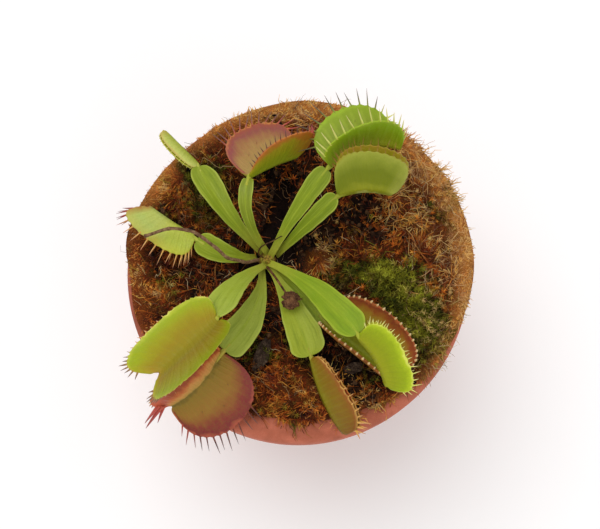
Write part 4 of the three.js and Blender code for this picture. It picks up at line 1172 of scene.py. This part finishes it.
def bedGrid(start, end):  # the bed's upper and lower skins, by turns round the crown
    rows = int(round((end - start) / bed["step"]))
    wallAt = float(innerWall(bed["soilTop"])) - bed["gap"] - 0.1
    upper, lower = [], []
    for i in range(rows + 1):
        turn = start + (end - start) * i / rows
        a = math.radians(turn)
        d = np.array([math.cos(a), math.sin(a)])
        b = crownAt[0] * d[0] + crownAt[1] * d[1]
        wall = -b + math.sqrt(b * b - (crownAt[0] ** 2 + crownAt[1] ** 2 - wallAt ** 2))
        first = clearingAt(turn)
        inside = [crownAt[:2] + d * (first + (wall - first) * s) for s in np.linspace(0, 1, bed["across"])]
        onWall = inside[-1]
        outward = onWall / np.linalg.norm(onWall)
        creep = creepAt(math.degrees(math.atan2(onWall[1], onWall[0])))
        laps = [onWall + outward * k for k in (0.12, *(creep * np.linspace(0.15, 1, bed["lapSteps"])))]
        rim = clayPot["height"] + bed["gap"]
        top, under = [], []
        for k, p in enumerate(inside):
            h = bed["soilTop"] + 1.2 if k == 0 else float(mossHeight(*p))
            grown = float(growthAt(*p))
            lumps = bed["lump"] * float(ripple(p[0] * 1.9, p[1] * 1.9, 0, 3))
            clumps = bed["clump"] * grown * float(ripple(p[0] * 0.8, p[1] * 0.8, 0, 6))
            h += (lumps + clumps - bed["sink"] * (1 - grown)) * min(k / 3, 1)
            top.append((*p, h))
            under.append((*p, bed["soilTop"] + bed["gap"]))
        for k, p in enumerate(laps):
            h = max(rim + bed["onRim"], float(mossHeight(*p)))
            h += bed["grain"] * float(ripple(p[0] * 1.9, p[1] * 1.9, 0, 3))
            top.append((*p, rim + 0.25 if k == len(laps) - 1 else max(h, rim + 0.3)))
            under.append((*p, rim))
        upper.append(top)
        lower.append(under)
    return np.array(upper), np.array(lower)


def makeShootTree():  # leafy shoots: narrow leaves in a spiral round an upright axis
    g = Grower("mossShoots")
    density = g.ask("Density", "NodeSocketFloat", 4e5)
    size = g.ask("Size", "NodeSocketFloat", 0.0022)
    leaves = g.ask("Leaves", "NodeSocketInt", 9)
    spread = g.ask("Spread", "NodeSocketFloat", 0.95)
    seed = g.ask("Seed", "NodeSocketInt", 1)
    finish = g.ask("Strand Finish", "NodeSocketMaterial")
    axis = g.node("GeometryNodeMeshLine", {"Count": leaves, "Start Location": (0, 0, 0.1),
                                           "Offset": (0, 0, 0.07)}).outputs[0]
    index = g.node("GeometryNodeInputIndex").outputs[0]
    opening = g.math("SUBTRACT", spread, g.times(index, 0.07))
    turn = g.node("ShaderNodeCombineXYZ", {0: opening, 1: 0.0, 2: g.times(index, 2.4)}).outputs[0]
    turn = g.node("FunctionNodeEulerToRotation", {0: turn}).outputs[0]
    blade = g.node("GeometryNodeMeshCone", {"Vertices": 3, "Radius Bottom": 0.1, "Radius Top": 0.0,
                                            "Depth": 0.75}).outputs["Mesh"]
    shoot = g.place(axis, blade, turn)
    place = g.node("GeometryNodeInputPosition").outputs[0]
    high = g.node("ShaderNodeSeparateXYZ", {0: place}).outputs[2]
    shoot = g.store(shoot, "along", g.plus(g.times(high, 0.8), 0.15))
    scatter = g.scatter(seed)
    g.link(g.times(g.math("POWER", g.named("verdure"), 1.5), density), scatter.inputs["Density"])
    spots = g.tinted(scatter.outputs["Points"], seed)
    lean = g.node("FunctionNodeRandomValue", {"Min": (-0.5, -0.5, 0), "Max": (0.5, 0.5, 6.28)},
                  data_type="FLOAT_VECTOR")
    g.link(g.plus(seed, 5.0), lean.inputs["Seed"])
    lean = g.node("FunctionNodeEulerToRotation", {0: lean.outputs[0]}).outputs[0]
    scale = g.times(g.times(size, g.named("room")), g.randomFloat(0.6, 1.3, g.plus(seed, 7.0)))
    real = g.place(spots, shoot, lean, Scale=scale)
    g.link(g.dressed(real, finish), g.out.inputs[0])
    return g


def makeCrumbTree():  # grit and bark crumbs, thickest where the soil is bare
    g = Grower("soilCrumbs")
    density = g.ask("Density", "NodeSocketFloat", 4e5)
    size = g.ask("Size", "NodeSocketFloat", 0.0006)
    seed = g.ask("Seed", "NodeSocketInt", 1)
    finish = g.ask("Crumb Finish", "NodeSocketMaterial")
    scatter = g.scatter(seed)
    bare = g.math("MAXIMUM", g.math("SUBTRACT", 0.9, g.named("growth")), 0.0)
    bare = g.times(bare, g.math("POWER", g.named("edge"), 2.0))
    g.link(g.times(bare, density), scatter.inputs["Density"])
    spots = g.tinted(scatter.outputs["Points"], seed)
    turn = g.node("FunctionNodeRandomValue", {"Min": (0, 0, 0), "Max": (6.28, 6.28, 6.28)},
                  data_type="FLOAT_VECTOR")
    turn = g.node("FunctionNodeEulerToRotation", {0: turn.outputs[0]}).outputs[0]
    flat = g.node("FunctionNodeRandomValue", {"Min": (0.5, 0.4, 0.35), "Max": (1.5, 1.1, 0.8)},
                  data_type="FLOAT_VECTOR").outputs[0]
    wide = g.times(size, g.math("POWER", g.randomFloat(0.45, 1.25, g.plus(seed, 7.0)), 2.0))
    lump = g.node("GeometryNodeMeshIcoSphere", {"Radius": 1.0, "Subdivisions": 1}).outputs[0]
    real = g.place(spots, lump, turn, Scale=g.scaled(flat, wide))
    g.link(g.dressed(real, finish), g.out.inputs[0])
    return g


def crumbMaterial():
    material, s, surface = newMaterial("crumb")
    colour = s.ramp(s.attribute("tint"), stops((0.0, 14, 9, 8), (0.5, 36, 24, 18), (0.82, 70, 45, 28),
                                               (1.0, 118, 86, 58)))
    spots = s.group(mottle, Patch_Size=1.0, Speck_Size=0.2, Seed=6.0)
    colour = s.mix(s.times(spots["Patches"], 0.5), colour, linear(26, 16, 18))
    grain = s.group(roughGrain, Grain_Size=0.2, Lump_Size=0.8, Strength=0.6)
    s.finish(surface, {"Base Color": colour, "Normal": grain["Normal"], "Roughness": 0.85,
                       "Specular IOR Level": 0.08})
    return material


def fibreMaterial():  # dry rootlets and grass lying on the moss
    material, s, surface = newMaterial("dryFibre")
    colour = s.ramp(s.attribute("tint"), stops((0.0, 78, 54, 38), (0.4, 134, 98, 62), (0.75, 188, 150, 98),
                                               (1.0, 230, 206, 162)))
    spots = s.group(mottle, Patch_Size=2.0, Speck_Size=0.3, Seed=2.0)
    colour = s.mix(s.times(spots["Patches"], 0.4), colour, linear(96, 66, 44))
    s.finish(surface, {"Base Color": colour, "Roughness": 0.7})
    return material


shootTree, crumbTree = makeShootTree(), makeCrumbTree()
crumbFinish, dryFibre = crumbMaterial(), fibreMaterial()
# the trees take metres and numbers to the square metre, and every batch has a seed of its own
undergrowth = {"Density": 1.5e6, "Length": 0.0039, "Thickness": 0.00024, "Curl": 0.0014,
               "Lift": 0.6, "Points": 3}
longStrands = {"Density": 7.0e5, "Length": 0.0084, "Thickness": 0.00019, "Curl": 0.002,
               "Lift": 0.4, "Points": 5}
litter = {"Density": 6.0e4, "Length": 0.011, "Thickness": 0.00012, "Curl": 0.003, "Lift": 0.12,
          "Points": 10, "Bare Share": 0.7}
shoots = {"Density": 1.3e6, "Size": 0.0024, "Leaves": 9, "Spread": 0.95}
crumbs = {"Density": 2.2e6, "Size": 0.0008}
rustBatches = {"undergrowth_%d" % k: (mossTree, undergrowth, mossFibre, k) for k in range(1, 5)}
rustBatches.update({"strands_%d" % k: (mossTree, longStrands, mossFibre, k + 4) for k in range(1, 3)})
rustBatches.update({"litter": (mossTree, litter, dryFibre, 11),
                    "shoots": (shootTree, shoots, mossFibre, 12),
                    "crumbs": (crumbTree, crumbs, crumbFinish, 13)})
greenBatches = {"undergrowth": (mossTree, {**undergrowth, "Density": 5.2e6}, mossFibre, 21),
                "strands": (mossTree, {**longStrands, "Density": 1.3e6}, mossFibre, 22),
                "litter": (mossTree, litter, dryFibre, 23), "shoots": (shootTree, shoots, mossFibre, 24)}


def makeMoss(node, start, end, batches):
    upper, lower = bedGrid(start, end)
    verts, faces = closedPlate(lower, upper)
    base = newObject(node + "_bed", verts, faces, bedGround, mossMarks(verts))
    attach(base, "root")
    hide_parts(node)
    rows, cols = upper.shape[:2]
    skin = [(i * cols + j, (i + 1) * cols + j, (i + 1) * cols + j + 1, i * cols + j + 1)
            for i in range(rows - 1) for j in range(cols - 1)]
    points = upper.reshape(-1, 3)
    for label, (grower, values, finish, seed) in batches.items():  # all of it roots on the bed's upper skin
        tufts = newObject(node + "_" + label, points, skin, finish, mossMarks(points))
        finishLabel = "Crumb Finish" if grower is crumbTree else "Strand Finish"
        grow(tufts, grower, {**values, "Seed": seed, finishLabel: finish})
        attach(tufts, "root")
        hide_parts(node)
        print("moss", tufts.name, sum(len(p.vertices) - 2 for p in tufts.data.polygons), "triangles")


makeMoss("moss_rust", bed["greenTo"], bed["greenFrom"] + 360, rustBatches)
makeMoss("moss_green", bed["greenFrom"], bed["greenTo"], greenBatches)


soilSkin = dict(turns=120, rings=30, bump=0.5, sag=0.1, flatEdge=2)


def makeSoil():
    turns, rings = soilSkin["turns"], soilSkin["rings"]
    wall = float(innerWall(bed["soilTop"])) - bed["gap"]
    a = np.arange(turns) / turns * 2 * math.pi
    radii = np.linspace(0, 1, rings) * wall
    verts = [(0.0, 0.0, bed["soilTop"])]
    for r in radii[1:]:
        for t in a:
            x, y = r * math.cos(t), r * math.sin(t)
            fade = 1 if r < wall - soilSkin["flatEdge"] else 0
            uneven = soilSkin["bump"] * float(ripple(x * 0.7, y * 0.7, 0, 4)) - soilSkin["sag"]
            verts.append((x, y, bed["soilTop"] + fade * uneven))
    for z in (collarBottom, clayPot["floor"] + bed["gap"]):
        r = float(innerWall(z)) - bed["gap"]
        verts += [(r * math.cos(t), r * math.sin(t), z) for t in a]
    verts.append((0.0, 0.0, clayPot["floor"] + bed["gap"]))
    faces = [(0, 1 + i, 1 + (i + 1) % turns) for i in range(turns)]
    for k in range(rings):
        p, q = 1 + k * turns, 1 + (k + 1) * turns
        faces += [(p + i, q + i, q + (i + 1) % turns, p + (i + 1) % turns) for i in range(turns)]
    last, p = len(verts) - 1, len(verts) - 1 - turns
    faces += [(last, p + (i + 1) % turns, p + i) for i in range(turns)]
    soil = newObject("soil_peat", verts, faces, soilGround)
    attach(soil, "root")
    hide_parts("soil")
    print("soil", len(faces), "faces")


makeSoil()


crownShape = dict(depth=6.3, rootRadius=3.0, waist=1.7, top=4.6, rings=22, sides=28, scales=9,
                  scaleLength=6.2, scaleWidth=3.6, scaleHalf=0.16, wispSteps=40,
                  wisp=[(-1.2, 0.4, 2.6), (-2.7, 1.5, 4.4), (-2.1, 2.9, 6.2), (-0.4, 3.9, 7.6),
                        (1.8, 4.7, 8.4), (4.4, 6.0, 9.2), (6.2, 6.4, 8.8)])


def crownMaterial():  # pale sheathing leaf bases, brown where they are old
    material, s, surface = newMaterial("crownTissue")
    course, span = s.attribute("course"), s.attribute("span")
    spots = s.group(mottle, Patch_Size=2.0, Speck_Size=0.3, Seed=5.0)
    colour = s.ramp(s.plus(course, s.range(spots["Patches"], 0, 1, -0.15, 0.15)),
                    stops((0.0, 60, 34, 20), (0.25, 116, 84, 32), (0.5, 160, 146, 50), (0.8, 186, 178, 70),
                          (1.0, 168, 136, 52)))
    colour = s.mix(s.range(s.math("ABSOLUTE", span), 0.6, 1.0, 0, 0.7), colour, linear(104, 66, 30))
    grain = s.group(skinGrain, Cell_Size=0.35, Strength=0.4)
    s.finish(surface, {"Base Color": colour, "Normal": grain["Normal"], "Roughness": 0.55,
                       "Specular IOR Level": 0.3})
    return material


def dryMaterial(name, dark, middle, pale, size):  # dead, shrunken matter
    material, s, surface = newMaterial(name)
    spots = s.group(mottle, Patch_Size=size, Speck_Size=0.3, Seed=8.0)
    fine = s.group(mottle, Patch_Size=size * 0.3, Speck_Size=0.15, Seed=1.0)
    colour = s.ramp(s.plus(s.times(spots["Patches"], 0.6), s.times(fine["Patches"], 0.4)),
                    [(0.1, dark), (0.5, middle), (0.95, pale)])
    grain = s.group(roughGrain, Grain_Size=0.25, Lump_Size=1.1, Strength=0.6)
    s.finish(surface, {"Base Color": colour, "Normal": grain["Normal"], "Roughness": 0.8,
                       "Specular IOR Level": 0.1})
    return material


def join(pieces):  # several meshes of (verts, faces, marks) become one
    verts, faces, offset = [], [], 0
    for v, f, _ in pieces:
        verts.append(v)
        faces += [tuple(i + offset for i in face) for face in f]
        offset += len(v)
    marks = {k: np.concatenate([np.broadcast_to(m[k], len(v)) for v, _, m in pieces]) for k in pieces[0][2]}
    return np.concatenate(verts), faces, marks


def makeCrown():
    c = crownShape
    heights = np.linspace(-c["depth"], c["top"] - 0.6, c["rings"])
    radii = np.interp(heights, [-c["depth"], -0.4, 1.0, 2.4, 4.0],
                      [c["rootRadius"], c["rootRadius"] - 0.2, c["waist"] + 0.2, 1.0, 0.2])
    verts, faces = tube([(0, 0, h) for h in heights], radii, c["sides"])
    verts[:, :2] *= (1 + 0.08 * np.sin(np.arctan2(verts[:, 1], verts[:, 0]) * 7 + verts[:, 2]))[:, None]
    pieces = [(verts, faces, dict(course=smooth((verts[:, 2] + 2) / 6), span=np.zeros(len(verts))))]
    for k in range(c["scales"]):  # dry scales stand in a spiral round the neck
        a = k * 2.4 + 0.4
        out = np.array([math.cos(a), math.sin(a), 0])
        across = np.array([-out[1], out[0], 0])
        low = 0.2 + 2.4 * k / c["scales"]
        t = np.linspace(0, 1, 12)[:, None, None]
        w = np.linspace(-1, 1, 7)[None, :, None]
        half = c["scaleWidth"] / 2 * (1 - 0.75 * smooth(t * 0.9)) * (1 - 0.3 * k / c["scales"])
        lean = out * (c["waist"] + 0.6 - 1.3 * k / c["scales"] - 0.9 * t ** 1.5)
        at = lean + np.array([0, 0, 1.0]) * (low - 1.6 + t * (c["scaleLength"] - 2.2)) + across * w * half
        at = at - out * (0.5 * w * w * half)
        verts, faces = closedPlate(at + out * c["scaleHalf"], at - out * c["scaleHalf"])
        course = np.tile(np.broadcast_to(t * 0.7 + 0.35, (12, 7, 1)).ravel(), 2)
        span = np.tile(np.broadcast_to(w, (12, 7, 1)).ravel(), 2)
        pieces.append((verts, faces, dict(course=course, span=span)))
    wisp = smoothPath(c["wisp"], c["wispSteps"])  # a dead stalk arching over the leaf bases
    verts, faces = tube(wisp, np.linspace(0.3, 0.14, c["wispSteps"]), 8)
    pieces.append((verts, faces, dict(course=np.full(len(verts), 0.06), span=np.zeros(len(verts)))))
    verts, faces, marks = join(pieces)
    crown = newObject("crown_leaf_bases", verts + crownAt, faces, crownMaterial(), marks)
    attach(crown, "root")
    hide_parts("crown")
    print("crown", len(faces), "faces")


makeCrown()

dryStalk = dict(path=[(-2.75, -0.4, 3.2), (-7.4, -2.2, 9.6), (-12.6, -1.6, 16), (-16.8, 1.6, 18.9),
                      (-22.6, 5.2, 20.2), (-29, 6.2, 20.5), (-37.5, 4, 20.3)],
                base=0.56, tip=0.5, knots=0.12, steps=90, wander=0.16)
witheredTrap = dict(head=(7.7, -14.9, 12.2), radius=3.0, squash=(1.0, 0.95, 0.7), rows=32,
                    cols=56, bristles=9,
                    stalk=[(0.1, -2.8, 3.4), (2.6, -7, 10.2), (6.4, -13, 12.1)],
                    stalkRadius=0.42, stalkSteps=30)


def makeDryStalk():
    d = dryStalk
    path = smoothPath(d["path"], d["steps"])
    share = np.linspace(0, 1, d["steps"])
    sway = np.stack([np.sin(share * 37), np.cos(share * 29), np.sin(share * 43)], -1)
    path = path + d["wander"] * sway * smooth(share * 6)[:, None]
    radii = d["base"] + (d["tip"] - d["base"]) * share + d["knots"] * np.maximum(0, np.sin(share * 46)) ** 6
    verts, faces = tube(path + crownAt, radii, 10)
    stalk = newObject("dry_stalk_detail", verts, faces,
                      dryMaterial("dryStalkSkin", linear(70, 44, 36), linear(118, 88, 62),
                                  linear(168, 136, 100), 2.6))
    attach(stalk, "root")
    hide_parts("dry_flower_stalk")
    print("dry stalk", len(faces), "faces")


def makeWitheredTrap():  # a shut, shrunken trap: two folded halves with a dark seam
    d = witheredTrap
    rows, cols = d["rows"], d["cols"]
    u = np.linspace(0, math.pi, rows)[1:-1, None]
    v = (np.arange(cols) / cols * 2 * math.pi)[None, :]
    x, y, z = np.sin(u) * np.cos(v), np.sin(u) * np.sin(v), np.cos(u) + 0 * v
    seam = 1 - 0.34 * np.exp(-((y - 0.15 * np.sin(x * 4)) / 0.12) ** 2) * np.sin(u)
    folds = 1 + (0.1 * ripple(x * 5, y * 9, z * 3, 4) + 0.05 * np.sin(v * 17 + z * 5)) * np.sin(u)
    grid = np.stack([x * seam * folds, y * folds, z * seam * folds], -1).reshape(-1, 3)
    skin = np.vstack([grid, [(0, 0, 1), (0, 0, -1)]]) * d["radius"]
    skin = skin * np.array(d["squash"]) + np.array(d["head"])
    around = [(k, (k + 1) % cols) for k in range(cols)]
    faces = [(i * cols + k, (i + 1) * cols + k, (i + 1) * cols + after, i * cols + after)
             for i in range(rows - 3) for k, after in around]
    last = (rows - 3) * cols
    faces += [(len(grid), k, after) for k, after in around]
    faces += [(len(grid) + 1, last + after, last + k) for k, after in around]
    path = smoothPath(d["stalk"], d["stalkSteps"])
    radii = np.linspace(d["stalkRadius"], d["stalkRadius"] * 0.8, d["stalkSteps"])
    pieces = [(skin, faces, {}), (*tube(path, radii, 9), {})]
    for k in range(d["bristles"]):  # what is left of its bristles
        a = -1.3 + k * 0.32
        root = np.array(d["head"]) + d["radius"] * np.array([math.cos(a) * 0.95, 0.1, math.sin(a) * 0.6])
        tip = root + np.array([math.cos(a) * 1.1, 0.5 * math.sin(k * 2.1), 0.5 + 0.3 * math.sin(k)])
        path = smoothPath([root, (root + tip) / 2 + [0.1, 0.1, 0.15], tip], 6)
        pieces.append((*tube(path, np.linspace(0.12, 0.04, len(path)), 5), {}))
    verts, faces, _ = join(pieces)
    trap = newObject("withered_trap_detail", verts + crownAt, faces,
                     dryMaterial("witheredSkin", linear(50, 30, 26), linear(96, 62, 42),
                                 linear(142, 102, 66), 1.4))
    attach(trap, "root")
    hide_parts("withered_trap")
    print("withered trap", len(faces), "faces")


scraps = {
    "dead_leaf_1": dict(at=(-11.5, -27.5), length=11, width=4.5, turn=70, curl=0.7),
    "dead_leaf_2": dict(at=(17.5, -31.5), length=6.5, width=3.5, turn=15, curl=0.45),
}
scrapShape = dict(rows=40, cols=19, half=0.22, lift=1.05)


def makeScrap(node, plan, seed):  # a dead leaf scrap: torn outline, curled edges, a sunken midrib
    t = np.linspace(0, 1, scrapShape["rows"])[:, None]
    w = np.linspace(-1, 1, scrapShape["cols"])[None, :]
    outline = np.sin(math.pi * (0.06 + 0.88 * t)) ** 0.55
    side = np.sign(w)
    ragged = 1 + 0.13 * ripple(t * 16, side * 3, 0, seed) + 0.05 * ripple(t * 41, side * 5, 0, seed)
    a = math.radians(plan["turn"])
    along = (t - 0.5) * plan["length"] * (1 + 0.04 * ripple(w * 4, t, 0, seed)) + 0 * w
    across = w * plan["width"] / 2 * outline * ragged
    x = plan["at"][0] + along * math.cos(a) - across * math.sin(a)
    y = plan["at"][1] + along * math.sin(a) + across * math.cos(a)
    lie = float(mossHeight(*plan["at"])) + scrapShape["lift"]
    z = lie + plan["curl"] * w ** 2 + 0.22 * ripple(t * 9, w * 4, 0, seed)
    z = z + 0.12 * ripple(t * 24, w * 9, 0, seed) - 0.25 * np.exp(-(w / 0.14) ** 2)
    mid, half = np.stack([x, y, z], -1), [0, 0, scrapShape["half"]]
    verts, faces = closedPlate(mid - half, mid + half)
    scrap = newObject(node + "_crinkled", verts, faces,
                      dryMaterial(node + "_skin", linear(34, 24, 18), linear(66, 50, 40),
                                  linear(106, 88, 70), 1.6))
    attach(scrap, "root")
    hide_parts(node)
    print("scrap", node, len(faces), "faces")


makeDryStalk()
makeWitheredTrap()
for number, (node, plan) in enumerate(scraps.items()):
    makeScrap(node, plan, 2.0 + number)


studio = dict(floorHalf=3000, floorShade=(0.98, 0.98, 0.98), skyLight=0.74)
# lamps and camera stand in metres
lamps = dict(overhead=dict(at=(-0.5, 0.7, 2.2), size=1.8, power=21.5),
             front=dict(at=(1.0, -1.6, 1.4), size=1.6, power=4.5))
view = dict(target=(0.000544, 0.00187, 0.096), distance=0.45, elevation=79.5, sensor=36, lens=84.34,
            nearest=0.01, farthest=20)


def makeFloor():
    half = studio["floorHalf"]
    verts = [(-half, -half, 0), (half, -half, 0), (half, half, 0), (-half, half, 0)]
    material, s, surface = newMaterial("floorPaper")
    s.finish(surface, {"Base Color": (*studio["floorShade"], 1), "Roughness": 0.9})
    floor = newObject("floor", verts, [(0, 1, 2, 3)], material)


def makeLight(name, at, size, power):
    lamp = bpy.data.lights.new(name, "AREA")
    lamp.shape, lamp.size, lamp.energy = "DISK", size, power
    obj = bpy.data.objects.new(name, lamp)
    obj.location = at
    obj.rotation_euler = (Vector((0, 0, 0.1)) - Vector(at)).to_track_quat("-Z", "Y").to_euler()
    bpy.context.scene.collection.objects.link(obj)


def makeCamera():
    elevation = math.radians(view["elevation"])
    camera = bpy.data.objects.new("camera", bpy.data.cameras.new("camera"))
    camera.data.sensor_width, camera.data.lens = view["sensor"], view["lens"]
    camera.data.clip_start, camera.data.clip_end = view["nearest"], view["farthest"]
    away = Vector((0, -math.cos(elevation), math.sin(elevation)))
    camera.location = Vector(view["target"]) + away * view["distance"]
    camera.rotation_euler = (math.pi / 2 - elevation, 0, 0)
    bpy.context.scene.collection.objects.link(camera)
    bpy.context.scene.camera = camera


makeFloor()
for lampName, lampValues in lamps.items():
    makeLight(lampName, **lampValues)
world = bpy.data.worlds.new("studio")
world.use_nodes = True
world.node_tree.nodes["Background"].inputs[0].default_value = (1, 1, 1, 1)
world.node_tree.nodes["Background"].inputs[1].default_value = studio["skyLight"]
bpy.context.scene.world = world
bpy.context.scene.view_settings.view_transform = "Standard"
makeCamera()
